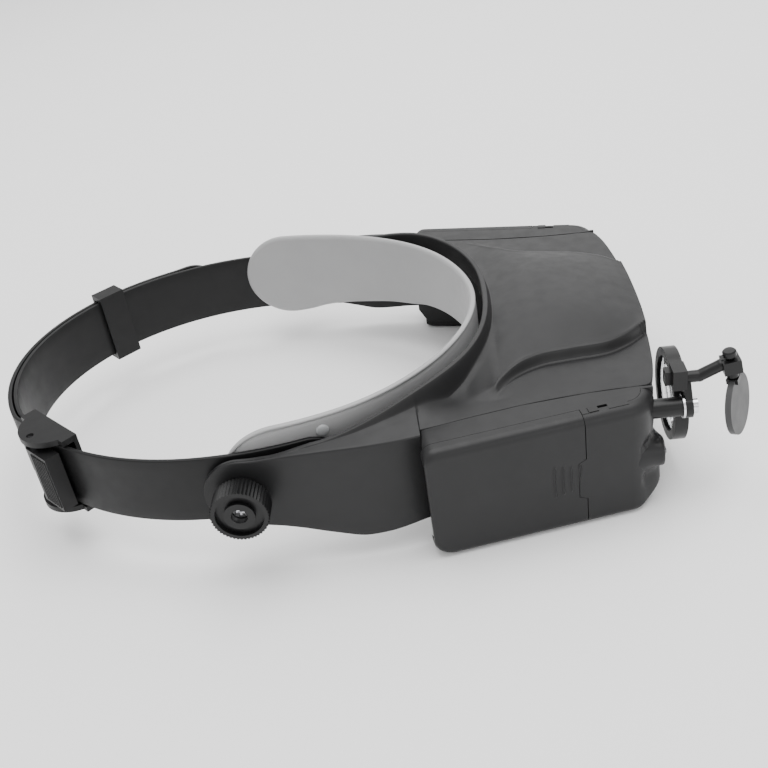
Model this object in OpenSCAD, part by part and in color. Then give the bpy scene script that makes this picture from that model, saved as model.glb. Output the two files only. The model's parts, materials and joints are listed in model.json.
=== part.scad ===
// Head visor magnifier: a tilting hood with a lens window, two battery and lamp pods,
// an adjustable headband with a forehead pad, and a swing-out loupe with a second lens.
// Everything is drawn around the middle of the headband loop, then set down with the
// pods on z = 0. The wearer looks along -Y, and the wearer's right is -X.

/* [Headband] */
// Width of the headband loop, ear to ear
loop_w = 166; // [154:1:176]
// Reach of the loop forward of the ears
loop_front = 105.8; // [98:0.1:110]
// Reach of the loop behind the ears
loop_rear = 94; // [86:1:102]
// Height of the straps
strap_h = 28.2; // [22:0.1:30]
// Thickness of a strap
strap_t = 1.8; // [1.2:0.1:2]
// Height of the top of the forehead pad above the middle of the straps, at the front
pad_top = 23.6; // [20:0.1:24]

/* [Tilt pivot] */
// How far the pivots sit in front of the middle of the loop
pivot_forward = 13.2; // [8:0.1:18]
// Radius of the round end of each side arm
arm_end_r = 14.5; // [12:0.1:16]
// Outer radius of the clamping knobs
knob_r = 10.7; // [9:0.1:12]

/* [Hood] */
// Height of the top of the hood above the middle of the straps
dome_top = 23.5; // [21:0.1:25]
// Height of the low shoulders of the hood above the middle of the straps
shoulder_top = 14; // [12:0.1:16]
// Wall of the hood moulding
wall = 2.2; // [1.8:0.1:2.6]
// Width of the main lens
lens_w = 110; // [100:1:112]
// Height of the main lens
lens_h = 38; // [30:1:38]

/* [Pods] */
// Depth of the pods below the middle of the straps
pod_drop = 34; // [32:0.5:38]
// Angle at which the pods turn inwards towards the front
toe_in = 12; // [10:0.5:13]
// Length of the battery doors
door_len = 58.8; // [56:0.1:60]
// Travel of a lamp switch
switch_travel = 3.5; // [2:0.1:3.7]

/* [Loupe] */
// Outer diameter of the large loupe ring
ring_d = 36; // [30:1:38]
// Diameter of the small front lens
small_lens_d = 23; // [18:0.5:26]
// How far the small lens is turned towards the wearer's temple
small_lens_turn = 30; // [0:1:45]
// How far the front clamp leans, with the small lens forward
clamp_tilt = 10; // [0:1:15]

/* [Hidden] */

$fn = 48;
RIGHT = -1;
LEFT = 1;
ink = [0.09, 0.09, 0.10];
hood_grey = [0.24, 0.24, 0.25];
pad_grey = [0.74, 0.74, 0.74];
clear = [0.85, 0.9, 0.92, 0.4];
steel = [0.8, 0.8, 0.82];

// Set-down: the middle of the whole length, and the pods on z = 0
clamp2 = [67, -191, 19.7];
clamp2_size = [6.4, 6.4, 5.2];
overlap_lift = 2.4;
lens_drop = 6 + small_lens_d / 2;
small_lens_t = 2.2;
lens_lean = [sin(small_lens_turn) * cos(clamp_tilt), sin(clamp_tilt)];
lens_front = clamp2[1] - lens_drop * sin(clamp_tilt) - small_lens_d / 2 * norm(lens_lean)
    - small_lens_t / 2 * cos(small_lens_turn) * cos(clamp_tilt);
loupe_front = min(clamp2[1] - clamp2_size[1] / 2, lens_front);
loop_back = loop_rear + strap_t / 2 + overlap_lift;
middle_y = (loupe_front + loop_back) / 2;
module set_down() { translate([0, -middle_y, pod_drop]) children(); }
module on_side(side) { if (side == LEFT) children(); else mirror([1, 0, 0]) children(); }
// A cylinder along X from x0 to x1, and one along Y from y0 to y1
module rod_x(r, x0, x1, y, z) { translate([x0, y, z]) rotate([0, 90, 0]) cylinder(r = r, h = x1 - x0); }
module rod_y(r, y0, y1, x, z) { translate([x, y1, z]) rotate([90, 0, 0]) cylinder(r = r, h = y1 - y0); }
// An outline drawn in (y, z), made thick along X
module side_plate(x0, x1) { translate([x0, 0, 0]) rotate([90, 0, 90]) linear_extrude(x1 - x0) children(); }
module rounded_rect(w, h, r) {
    translate([r, 0]) square([w - 2 * r, h]);
    translate([0, r]) square([w, h - 2 * r]);
    for (x = [r, w - r], y = [r, h - r]) translate([x, y]) circle(r);
}
function mix(a, b, t) = a + (b - a) * t;
function clamp01(t) = max(0, min(1, t));
function ease(t) = let (c = clamp01(t)) c * c * (3 - 2 * c);

// ---- Headband loop ----
// A point of the loop at angle a from +X, set out by d
function loop_at(a, d) = [
    (loop_w / 2 + d) * cos(a),
    ((sin(a) < 0 ? loop_front : loop_rear) + d) * sin(a)
];
tongue_angle = asin(50 / loop_front);
tongue_r = strap_h / 2;
tail_angle = 13;
cross_angle = 126;
step = 3;
// The right strap crosses outside the left one behind the head, and its tail lifts at the end
function right_lift(a) = overlap_lift * ease((cross_angle - a) / 8) + 3.5 * ease((27 - a) / 14);
function left_lift(a) = -overlap_lift * ease((a - cross_angle + 8) / 8);
module band(a0, a1, inner, outer) {
    n = ceil(abs(a1 - a0) / step);
    polygon(concat(
        [for (i = [0:n]) let (a = mix(a0, a1, i / n)) loop_at(a, outer)],
        [for (i = [n:-1:0]) let (a = mix(a0, a1, i / n)) loop_at(a, inner)]
    ));
}
module strap_plan(a0, a1, lifts) {
    n = len(lifts) - 1;
    polygon(concat(
        [for (i = [0:n]) loop_at(mix(a0, a1, i / n), lifts[i] + strap_t / 2)],
        [for (i = [n:-1:0]) loop_at(mix(a0, a1, i / n), lifts[i] - strap_t / 2)]
    ));
}
// Rounds the end of a strap whose tip is at y_tip; the strap lies towards +Y
module round_tip(y_tip, x0, x1) {
    difference() {
        side_plate(x0, x1) translate([y_tip - 4, -strap_h]) square([tongue_r + 4, 2 * strap_h]);
        rod_x(tongue_r, x0 - 1, x1 + 1, y_tip + tongue_r, 0);
    }
}
front_tip_y = loop_at(-tongue_angle, 0)[1];
tail_tip_y = loop_at(tail_angle, 6)[1] + 0.4;
screw_r = 1.5;
running = 0.05;

module strap_right() {
    a0 = 180 + tongue_angle;
    n = 66;
    color(ink) set_down() difference() {
        translate([0, 0, -strap_h / 2]) linear_extrude(strap_h)
            strap_plan(a0, tail_angle, [for (i = [0:n]) right_lift(mix(a0, tail_angle, i / n))]);
        round_tip(front_tip_y, -loop_w, 0);
        round_tip(tail_tip_y, 0, loop_w);
        rod_x(screw_r, -loop_w, 0, -pivot_forward, 0);
        stud_rod(RIGHT, stud_r, -10, 10);
    }
}
module strap_left() {
    a1 = 141;
    n = 58;
    color(ink) set_down() difference() {
        translate([0, 0, -strap_h / 2]) linear_extrude(strap_h)
            strap_plan(-tongue_angle, a1, [for (i = [0:n]) left_lift(mix(-tongue_angle, a1, i / n))]);
        round_tip(front_tip_y, 0, loop_w);
        rod_x(screw_r, 0, loop_w, -pivot_forward, 0);
        stud_rod(LEFT, stud_r, -10, 10);
    }
}

// ---- Forehead pad and its studs ----
pad_t = 3;
pad_gap = 0.2;
pad_low = -17;
stud_r = 2;
stud_y = -42;
stud_z = 7;
stud_x = loop_w / 2 * sqrt(1 - pow(stud_y / loop_front, 2));
stud_slant = atan2(stud_y / pow(loop_front, 2), stud_x / pow(loop_w / 2, 2));
pad_face = strap_t / 2 + pad_gap;
stud_in = pad_face + pad_t - 1;
// A rod square to the strap at the stud, from d0 to d1 outside the strap's middle
module stud_rod(side, r, d0, d1) {
    on_side(side) translate([stud_x, stud_y, stud_z]) rotate([0, 0, stud_slant]) rotate([0, 90, 0])
        translate([0, 0, d0]) cylinder(r = r, h = d1 - d0);
}
// The pad hides the pivot nuts in blind recesses
nut_t = 1.3;
nut_out = strap_t / 2 + 0.65;
// Outline of one half in (y, z), rounded at the tip and shallow over the brow
module pad_outline(tip, top) {
    r = (top - pad_low) / 2;
    translate([tip - r, top - r]) circle(r, $fn = 96);
    polygon([
        [tip - r, top], [-72, top + 0.2], [-88, mix(top, pad_top, 0.5)], [-loop_front, pad_top],
        [-loop_front, -4.7], [-90, -4.7], [-80, -6.5], [-66, -8.7], [-52, -10.8], [-31, -14.2], [tip - r, pad_low]
    ]);
}
module forehead_pad() {
    color(pad_grey) set_down() difference() {
        intersection() {
            translate([0, 0, -strap_h]) linear_extrude(2 * strap_h)
                band(-180, 6, -pad_face - pad_t, -pad_face);
            union() {
                side_plate(-loop_w, 0.01) pad_outline(-5.5, 21.2);
                side_plate(0, loop_w) pad_outline(6.6, 24.4);
            }
        }
        for (side = [RIGHT, LEFT]) {
            stud_rod(side, stud_r, -stud_in, 10);
            on_side(side) rod_x(5.5, strap_x - nut_out - nut_t - 0.15, loop_w, -pivot_forward, 0);
        }
    }
}
// A stud through the strap's tongue, moulded into the pad
module pad_stud(side) {
    outer = strap_t / 2 + 0.15;
    color(ink) set_down() {
        stud_rod(side, stud_r, -stud_in, outer + 1);
        stud_rod(side, stud_r + 1.4, outer, outer + 1.3);
    }
}
module pad_stud_right() { pad_stud(RIGHT); }
module pad_stud_left() { pad_stud(LEFT); }

// ---- Keeper loop round the overlapping straps ----
keeper_angle = 47.6;
keeper_w = 12.5;
keeper_wall = 1.6;
keeper_h = strap_h + 5.4;
// Places children on the loop at an angle: +X along the strap, +Y outwards
module on_loop(a, d) {
    p = loop_at(a, d);
    tangent = atan2(loop_rear * cos(a), -loop_w / 2 * sin(a));
    translate([p[0], p[1], 0]) rotate([0, 0, tangent]) mirror([0, 1, 0]) children();
}
module keeper_loop() {
    inner = -strap_t / 2 - 0.6;
    outer = overlap_lift + strap_t / 2 + 0.4;
    color(ink) set_down() on_loop(keeper_angle, 0) difference() {
        translate([-keeper_w / 2, inner - keeper_wall, -keeper_h / 2])
            cube([keeper_w, outer - inner + 2 * keeper_wall, keeper_h]);
        translate([-keeper_w, inner, -strap_h / 2 - 0.5])
            cube([2 * keeper_w, outer - inner, strap_h + 1]);
    }
}

// ---- Cam buckle: the buckle's own axes run along the strap and outwards ----
buckle_angle = 134;
buckle_len = 31;
buckle_back = -6.6;
buckle_ear_t = 2.4;
buckle_z = strap_h / 2 + 0.6;
cam_pin_x = 0;
cam_pin_y = 4.6;
cam_pin_r = 1.5;
cam_r = 3.1;
module on_buckle() { set_down() on_loop(buckle_angle, 0) children(); }
module buckle_ear() {
    linear_extrude(buckle_ear_t) intersection() {
        union() {
            translate([0, buckle_back + 1]) circle(13.6, $fn = 96);
            translate([-buckle_len / 2, buckle_back]) square([buckle_len, 6.5]);
        }
        translate([-buckle_len / 2, buckle_back]) square([buckle_len, 20]);
    }
}
module buckle_body() {
    color(ink) on_buckle() difference() {
        union() {
            translate([0, 0, buckle_z]) buckle_ear();
            translate([0, 0, -buckle_z - buckle_ear_t]) buckle_ear();
            translate([-buckle_len / 2, buckle_back, -buckle_z]) cube([buckle_len, 1.8, 2 * buckle_z]);
        }
        translate([cam_pin_x, cam_pin_y, -loop_w / 2]) cylinder(r = cam_pin_r, h = loop_w);
    }
}
module buckle_pin() {
    reach = buckle_z + buckle_ear_t - 1;
    color(steel) on_buckle() translate([cam_pin_x, cam_pin_y, -reach]) cylinder(r = cam_pin_r, h = 2 * reach);
}
// The lever lies along the outside of the strap; its thumb face carries upright ribs
module buckle_cam() {
    half = strap_h / 2 - 1.6;
    color(ink) on_buckle() difference() {
        union() {
            translate([cam_pin_x, cam_pin_y, -half]) cylinder(r = cam_r, h = 2 * half);
            translate([0, 1.7, -half]) cube([13.6, cam_pin_y + cam_r - 1.7, 2 * half]);
            for (i = [0:6]) translate([2.6 + 1.6 * i, cam_pin_y + cam_r, 0])
                cylinder(r = 0.45, h = 2 * half - 3, center = true);
        }
        translate([cam_pin_x, cam_pin_y, -loop_w / 2]) cylinder(r = cam_pin_r + running, h = loop_w);
    }
}

// ---- Tilt pivots: screw, nut, washer and clamping knob on each side ----
strap_x = loop_w / 2 * sqrt(1 - pow(pivot_forward / loop_front, 2));
strap_out = strap_x + strap_t / 2;
arm_in = 86.3;
arm_out = 88.8;
knob_in = arm_out + 0.3;
knurl_in = 92.6;
knob_out = 101.1;
knob_ribs = 48;
screw_head_in = 96.2;
module knob(side) {
    color(ink) set_down() on_side(side) difference() {
        union() {
            rod_x(8.2, knob_in, knurl_in + 0.5, -pivot_forward, 0);
            translate([0, -pivot_forward, 0]) side_plate(knurl_in, knob_out) polygon([
                for (i = [0:2 * knob_ribs - 1])
                    (i % 2 == 0 ? knob_r : knob_r - 0.55) * [cos(i * 180 / knob_ribs), sin(i * 180 / knob_ribs)]
            ]);
        }
        difference() {
            rod_x(8.8, knob_out - 1.8, knob_out + 1, -pivot_forward, 0);
            rod_x(5.6, knob_out - 2, knob_out + 2, -pivot_forward, 0);
        }
        rod_x(3, screw_head_in, knob_out + 1, -pivot_forward, 0);
        rod_x(screw_r + running, knob_in - 1, knob_out, -pivot_forward, 0);
    }
}
module pivot_screw(side) {
    color(steel) set_down() on_side(side) difference() {
        union() {
            rod_x(screw_r, strap_x - nut_out - nut_t, screw_head_in + 0.1, -pivot_forward, 0);
            rod_x(2.7, screw_head_in + 0.05, screw_head_in + 1.9, -pivot_forward, 0);
        }
        for (turn = [0, 90]) translate([screw_head_in + 2, -pivot_forward, 0]) rotate([turn, 0, 0])
            cube([2, 0.7, 3.2], center = true);
    }
}
module pivot_nut(side) {
    nut_in = strap_x - nut_out - nut_t;
    color(steel) set_down() on_side(side) difference() {
        translate([nut_in, -pivot_forward, 0]) rotate([0, 90, 0]) cylinder(r = 5, h = nut_t, $fn = 6);
        rod_x(screw_r, nut_in - 1, nut_in + 4, -pivot_forward, 0);
    }
}
module pivot_washer(side) {
    color(ink) set_down() on_side(side) difference() {
        rod_x(9, strap_out + 1.15, arm_in - 0.1, -pivot_forward, 0);
        rod_x(screw_r, strap_x, arm_out, -pivot_forward, 0);
    }
}
module knob_right() { knob(RIGHT); }
module knob_left() { knob(LEFT); }
module pivot_screw_right() { pivot_screw(RIGHT); }
module pivot_screw_left() { pivot_screw(LEFT); }
module pivot_nut_right() { pivot_nut(RIGHT); }
module pivot_nut_left() { pivot_nut(LEFT); }
module pivot_washer_right() { pivot_washer(RIGHT); }
module pivot_washer_left() { pivot_washer(LEFT); }

// ---- Hood ----
// The lip over the forehead is a flattened ellipse in plan
lip_front = 107.2;
lip_w = 87;
lip_power = 2.4;
function lip_x(y) = lip_w * pow(1 - pow(min(1, abs(y) / lip_front), lip_power), 1 / lip_power);
function lip_y(x) = -lip_front * pow(1 - pow(min(1, abs(x) / lip_w), lip_power), 1 / lip_power);
// Height of the raised middle along its centre line, behind and in front of its highest point
function crest(y) = dome_top - (y > -132 ? 4.5 * pow(clamp01((y + 132) / 22), 1.6) : 0.0045 * pow(y + 132, 2));
// Height of the shoulder beside the raised middle, and of the step between them
function foot(y) = y > -107 ? 16.4 + 1.6 * ease((y + 107) / 12) : max(13.9, 16.4 + 0.0533 * (y + 107));
function step_up(y) = 3.2 * ease((-98 - y) / 10);
// Half width of the raised middle at y: a waist that flares to the temples behind
function crease_x(y) = lookup(y, [
    [-170, 27], [-162, 34.5], [-154, 39.5], [-142, 42.4], [-127, 45.8], [-119.6, 49.6], [-110.6, 57.8], [-98, 73]
]);
function hood_z(x, y, edge_x) = let (
    c = y > -120 ? min(crease_x(y), edge_x - 5) : crease_x(y),
    middle = mix(crest(y), foot(y) + step_up(y), pow(min(1, x / c), 2.4)),
    shoulder = mix(foot(y), shoulder_top, ease((x - c) / max(4, edge_x - c)))
) mix(middle, shoulder, ease((x - c + 4) / 8));
// Stations round the edge: a point of the lip, a point of the outer edge, and the top at both
temple = [
    [[lip_x(-24), -24], [89, -24], 14.4, 14.6], [[lip_x(-31), -31], [89.4, -31], 15.2, 15.6],
    [[lip_x(-40), -40], [89.6, -40], 16.2, 16], [[lip_x(-56), -56], [89, -56], 17.4, 16],
    [[lip_x(-68), -68], [87.2, -68], 18.6, 15.4], [[lip_x(-76), -76], [84.5, -79.2], 19, 14.6]
];
edge = [
    [-78.7, [79.5, -79.2]], [-82.6, [77.9, -86]], [-87.5, [75.4, -95]], [-92.4, [73, -105]],
    [-96.2, [70.6, -116]], [-99, [68.6, -128]], [-101.4, [67.2, -140]], [-103, [66.4, -150]],
    [-104, [66.2, -158]], [-104.6, [66.4, -163.4]]
];
brow = [[24.6, [60.6, -164.9]], [22, [54, -166.4]], [17, [42, -168]], [11, [28, -169.2]], [5.5, [14, -170]], [0, [0, -170.2]]];
half_rim = concat(
    temple,
    [for (e = edge) [[lip_x(e[0]), e[0]], e[1], undef, undef]],
    [for (b = brow) [[b[0], lip_y(b[0])], b[1], undef, undef]]
);
function flip_x(s) = [[-s[0][0], s[0][1]], [-s[1][0], s[1][1]], s[2], s[3]];
rim = concat(half_rim, [for (i = [len(half_rim) - 2:-1:0]) flip_x(half_rim[i])]);
rim_steps = 9;
header_low = 8.6;
// Height of the lip at y: low beside the pivots, level with the raised middle over the forehead
function lip_top(y) = 24.3 - 7.6 * ease((y + 90) / 50) - 0.13 * max(0, y + 40);
function section_top(s, p, v) = s[2] == undef ? hood_z(abs(p[0]), p[1], abs(s[1][0])) : mix(s[2], s[3], v);
// The moulding cut upright through one station: along the top, down the edge, back below
function section(s) = let (
    run = s[1] - s[0],
    long = norm(run),
    skin = min(0.3, wall / long),
    edge_z = section_top(s, s[1], 1),
    low = s[1][1] < -166 ? header_low : edge_z - wall - 0.4,
    lip_z = lip_top(s[0][1])
) [
    [s[0][0], s[0][1], lip_z],
    let (p = mix(s[0], s[1], skin)) [p[0], p[1], lip_z],
    for (j = [0:rim_steps]) let (
        v = mix(1.25 * skin, 1, j / rim_steps),
        p = mix(s[0], s[1], v)
    ) [p[0], p[1], min(lip_z - 0.1, section_top(s, p, v))],
    [s[1][0], s[1][1], low],
    let (p = mix(s[0], s[1], 1 - skin)) [p[0], p[1], low],
    for (j = [rim_steps:-1:0]) let (
        v = mix(0, 1 - skin, j / rim_steps),
        p = mix(s[0], s[1], v)
    ) [p[0], p[1], min(lip_z - 0.1, section_top(s, p, v)) - wall]
];
// A closed solid through a row of sections with the same number of points
module loft(sections) {
    n = len(sections[0]);
    last = len(sections) - 1;
    polyhedron(
        [for (ring = sections) each ring],
        concat(
            [for (i = [0:last - 1], k = [0:n - 1]) let (m = (k + 1) % n) each [
                [i * n + k, i * n + m, (i + 1) * n + m],
                [i * n + k, (i + 1) * n + m, (i + 1) * n + k]
            ]],
            [[for (k = [n - 1:-1:0]) k]],
            [[for (k = [0:n - 1]) last * n + k]]
        ),
        convexity = 8
    );
}
module visor_shell() {
    color(hood_grey) set_down() loft([for (s = rim) section(s)]);
}
// ---- Side arms, each with the inner cheek that its pod screws to ----
arm_joint_y = -79.2;
web_y = -76.6;
web_low = -23.4;
module arm(side) {
    on_side(side) difference() {
        union() {
            intersection() {
                translate([0, 0, -40]) linear_extrude(80) polygon([
                    [arm_in, -10], [arm_out, -10], [88.8, -18], [89.3, -28], [89.6, -40], [89, -56],
                    [87.2, -68], [84.5, arm_joint_y], [81.9, arm_joint_y], [84.8, -68], [86.6, -56],
                    [87.2, -40], [86.9, -28], [arm_in, -18]
                ]);
                side_plate(0, loop_w) polygon([
                    [-pivot_forward, arm_end_r], [-18, 13.2], [-23.6, 11.9], [-31, 12.9], [-40, 13.3],
                    [-56, 13.3], [-68, 12.7], [arm_joint_y, 11.9], [arm_joint_y, -23.2], [-74, -23.6], [-63, -24.6],
                    [-54, -24.4], [-45, -21.8], [-31, -17.6], [-pivot_forward, -arm_end_r]
                ]);
            }
            rod_x(arm_end_r, arm_in, arm_out, -pivot_forward, 0);
            translate([0, 0, web_low]) linear_extrude(cheek_top - web_low) polygon([
                [76.4, web_y], [84.8, web_y], [84.5, arm_joint_y], [77.2, arm_joint_y]
            ]);
        }
        rod_x(screw_r + running, arm_in - 1, arm_out + 1, -pivot_forward, 0);
    }
}
// The cheek is the inner wall that a pod screws to
cheek_t = 2;
cheek_low = -30;
cheek_top = 11.2;
aux_pivot = [-150, 6.5];
aux_pin_r = 1.5;
module cheek(side) {
    on_side(side) difference() {
        translate([0, 0, cheek_low]) linear_extrude(cheek_top - cheek_low) polygon([
            cheek_point(web_y, 0), cheek_point(-163, 0), cheek_point(-163, cheek_t), cheek_point(web_y, cheek_t)
        ]);
        translate([0, arm_joint_y, 2 * cheek_low]) cube([loop_w, 10, web_low - 2 * cheek_low]);
        rod_x(aux_pin_r + running, 40, 80, aux_pivot[0], aux_pivot[1]);
        on_pod() pod_screw_places() rotate([90, 0, 0]) cylinder(r = pod_screw_r, h = 60, center = true);
    }
}
module side_arm(side) {
    color(hood_grey) set_down() {
        arm(side);
        cheek(side);
    }
}
module side_arm_right() { side_arm(RIGHT); }
module side_arm_left() { side_arm(LEFT); }

// ---- Pods: +X runs forward along the pod's outer face, +Y outwards ----
pod_corner = [95.5, -79.5];
pod_depth = 16.5;
pod_top = shoulder_top;
pod_front_y = -163.6;
pod_len = (pod_corner[1] - pod_front_y) / cos(toe_in);
module on_pod() { translate([pod_corner[0], pod_corner[1], 0]) rotate([0, 0, -90 - toe_in]) children(); }
// X of the line that runs along a pod at a depth inside its outer face
function pod_x(y, depth) = pod_corner[0] - depth / cos(toe_in) + tan(toe_in) * (y - pod_corner[1]);
function cheek_point(y, d) = [pod_x(y, pod_depth + 0.3 + d), y];
function pod_point(y, depth) = [pod_x(y, depth), y];
shelf_z = 11.2;
pod_wall = 1.8;
door_t = 2;
door_flange = 6;
door_gap = 0.15;
door_top_r = 4.5;
door_low_r = 3;
// The front corner is rounded in plan; the cut leaves radius r round its middle
nose_r = 12;
nose_mid = pod_point(pod_front_y + nose_r, nose_r);
nose_in_r = 6.6;
module nose_cut(r) {
    difference() {
        polygon([
            nose_mid, nose_mid + [0, -30], nose_mid + [30, -30], nose_mid + 30 * [cos(toe_in), -sin(toe_in)]
        ]);
        translate(nose_mid) circle(r);
    }
}
module pod_low_plan(inset) {
    difference() {
        polygon([
            pod_point(pod_corner[1] - inset, inset), pod_point(pod_front_y + inset, inset),
            pod_point(pod_front_y + inset, pod_depth - inset),
            pod_point(pod_corner[1] - inset, pod_depth - inset)
        ]);
        nose_cut(nose_r - 0.4 - inset);
    }
}
module pod_top_plan() {
    difference() {
        polygon([
            pod_point(pod_corner[1], 0), pod_point(pod_front_y, 0), [66.7, pod_front_y],
            [66.5, -158], [67.5, -140], [70.9, -116], [75.7, -95], [79.8, pod_corner[1]]
        ]);
        nose_cut(nose_r - door_top_r - 0.2);
    }
}
// What the rounded rear corners cut from a pod and its door, seen from the side
rear_top_r = 5;
rear_low_r = 8;
module rear_cut() {
    translate([0, 10, 0]) rotate([90, 0, 0]) linear_extrude(40) {
        translate([0, -pod_drop]) difference() {
            translate([-5, -5]) square(5 + rear_low_r);
            translate([rear_low_r, rear_low_r]) circle(rear_low_r);
        }
        translate([0, pod_top]) difference() {
            translate([-5, -rear_top_r]) square(5 + rear_top_r);
            translate([rear_top_r, -rear_top_r]) circle(rear_top_r);
        }
    }
}
// What the rounded lower front corner cuts, set in by d
module chin_cut(d) {
    side_plate(40, 90) translate([pod_front_y, -pod_drop]) difference() {
        translate([-5, -5]) square(5 + nose_r);
        translate([nose_r, nose_r]) circle(nose_r - d);
    }
}
// Cross-section of the pod, drawn in (y, z), set in by d all round
module pod_section(d) {
    r_top = door_top_r - d;
    r_low = door_low_r - d;
    translate([-30, -pod_drop + d + r_low]) square([30 - d, pod_drop + pod_top - 2 * d - r_low - r_top]);
    translate([-30, -pod_drop + d]) square([30 - d - r_low, pod_drop + pod_top - 2 * d]);
    translate([-30, -pod_drop + d]) square([30 - d - r_top, pod_drop + pod_top - 2 * d]);
    translate([-d - r_top, pod_top - d - r_top]) circle(r_top);
    translate([-d - r_low, -pod_drop + d + r_low]) circle(r_low);
}
bay = [4.5, 51, 36.5];
bay_low = -29.5;
cell_r = 5.2;
cell_len = 44.5;
cell_pitch = 11.8;
cell_first_z = -23.1;
cell_y = -8.1;
slot = [switch_travel + 3.9, 3];
slot_at = [65.2, -4.5];
lamp_x = 71.6;
lamp_z = -12;
pod_screw_r = 1.2;
module pod_screw_places() {
    for (p = [[62, -27], [62, 2], [78, -27]]) translate([p[0], -pod_depth, p[1]]) children();
}
module pod_body(side) {
    color(hood_grey) set_down() on_side(side) difference() {
        union() {
            difference() {
                union() {
                    translate([0, 0, -pod_drop]) linear_extrude(pod_drop + shelf_z) pod_low_plan(0);
                    translate([0, 0, shelf_z - 1]) linear_extrude(pod_top - shelf_z + 1) pod_top_plan();
                }
                difference() {
                    on_pod() side_plate(-20, 110) translate([-40, -60]) square([80, 120]);
                    on_pod() side_plate(-20, 110) pod_section(0);
                }
                // Hollow of the lamp end
                difference() {
                    translate([0, 0, -pod_drop + pod_wall]) linear_extrude(pod_drop + shelf_z - pod_wall)
                        difference() {
                            pod_low_plan(pod_wall);
                            translate([-1, 1]) nose_cut(nose_in_r);
                        }
                    on_pod() side_plate(-20, door_len) translate([-40, -60]) square([80, 120]);
                    chin_cut(pod_wall + 0.4);
                }
                on_pod() rear_cut();
                chin_cut(0.4);
                // Scoops above and below the lamp
                for (z = [-3.4, -20.6]) translate([81, -165.5, z]) sphere(8.2);
                // Rebate for the sliding door
                on_pod() difference() {
                    side_plate(-20, door_len + door_gap) translate([-door_flange - door_gap, -60]) square([40, 120]);
                    side_plate(-30, door_len + 10) pod_section(door_t + door_gap);
                }
                // Battery bay, open behind the door
                on_pod() translate([bay[0], cell_y - cell_r - 0.4, bay_low]) cube([bay[1], 30, bay[2]]);
            }
            intersection() {
                on_pod() pod_screw_places() rotate([-90, 0, 0]) cylinder(r = 3, h = 7.5);
                translate([0, 0, -pod_drop]) linear_extrude(60) pod_low_plan(0);
            }
            rod_y(5.2, pod_front_y - 2.6, -150, lamp_x, lamp_z);
        }
        rod_y(4.1, pod_front_y - 4, -149, lamp_x, lamp_z);
        on_pod() translate([slot_at[0] - slot[0] / 2, slot_at[1] - slot[1] / 2, 0]) cube([slot[0], slot[1], 40]);
        on_pod() pod_screw_places() rotate([90, 0, 0]) cylinder(r = pod_screw_r, h = 14, center = true);
        rod_y(shaft_r, -170, -150, loupe_x, loupe_z);
    }
}
module battery_door(side) {
    ridge = [0.5, 0.45];
    color(hood_grey) set_down() on_side(side) on_pod() {
        difference() {
            intersection() {
                side_plate(0.4, door_len) pod_section(0);
                side_plate(0, 80) translate([-door_flange, -60]) square([40, 120]);
            }
            side_plate(-1, 80) pod_section(door_t);
            rear_cut();
        }
        for (i = [0:3]) translate([door_len - 12.5 + 3.2 * i, 0, -11]) intersection() {
            translate([6, 0, 0]) rotate([90, 0, 0]) difference() {
                cylinder(r = 12, h = 2 * ridge[1], center = true);
                cylinder(r = 12 - 2 * ridge[0], h = 3, center = true);
            }
            translate([-7.5, -1, -7.5 + i]) cube([6, 3, 15 - i]);
        }
    }
}
module battery_cells(side) {
    color("silver") set_down() on_side(side) on_pod() for (i = [0:2]) {
        flip = i % 2;
        translate([bay[0] + 3.6, cell_y, cell_first_z + i * cell_pitch]) rotate([0, 90, 0]) {
            translate([0, 0, flip * 0.8]) cylinder(r = cell_r, h = cell_len - 0.8);
            translate([0, 0, flip ? 0 : cell_len - 0.9]) cylinder(r = 1.9, h = 0.9);
        }
    }
}
// Spring wire wound round the cell's axis, thicker plate behind it
wire_r = 0.4;
module contact_spring(length) {
    turns = 3;
    per_turn = 12;
    sides = 5;
    n = turns * per_turn;
    function ring_at(i) = let (
        a = 360 * i / per_turn,
        r = mix(3.6, 2, i / n),
        z = mix(wire_r, length - wire_r, i / n)
    ) [for (k = [0:sides - 1]) let (b = 360 * k / sides)
        [(r + wire_r * cos(b)) * cos(a), (r + wire_r * cos(b)) * sin(a), z + wire_r * sin(b)]];
    points = [for (i = [0:n]) each ring_at(i)];
    faces = concat(
        [for (i = [0:n - 1], k = [0:sides - 1]) let (m = (k + 1) % sides) each [
            [i * sides + k, i * sides + m, (i + 1) * sides + m],
            [i * sides + k, (i + 1) * sides + m, (i + 1) * sides + k]
        ]],
        [[for (k = [sides - 1:-1:0]) k]],
        [[for (k = [0:sides - 1]) n * sides + k]]
    );
    polyhedron(points, faces, convexity = 8);
}
module battery_contacts(side) {
    plate = 0.5;
    color(steel) set_down() on_side(side) on_pod() for (i = [0:2]) {
        flip = i % 2;
        near = bay[0] + 0.1;
        far = bay[0] + bay[1] - 0.1;
        translate([near, cell_y, cell_first_z + i * cell_pitch]) {
            translate([0, -4, -4.5]) cube([plate, 8, 9]);
            if (flip == 0) translate([plate - 0.1, 0, 0]) rotate([0, 90, 0]) contact_spring(3);
            if (flip == 1) translate([plate - 0.1, 0, 0]) rotate([0, 90, 0]) cylinder(r = 2, h = 2.9);
        }
        translate([far, cell_y, cell_first_z + i * cell_pitch]) {
            translate([-plate, -4, -4.5]) cube([plate, 8, 9]);
            if (flip == 1) translate([-plate + 0.1, 0, 0]) rotate([0, -90, 0]) contact_spring(2.4);
            if (flip == 0) translate([-plate + 0.1, 0, 0]) rotate([0, -90, 0]) cylinder(r = 2, h = 2.2);
        }
    }
}
switch_top = 11.1;
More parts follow.
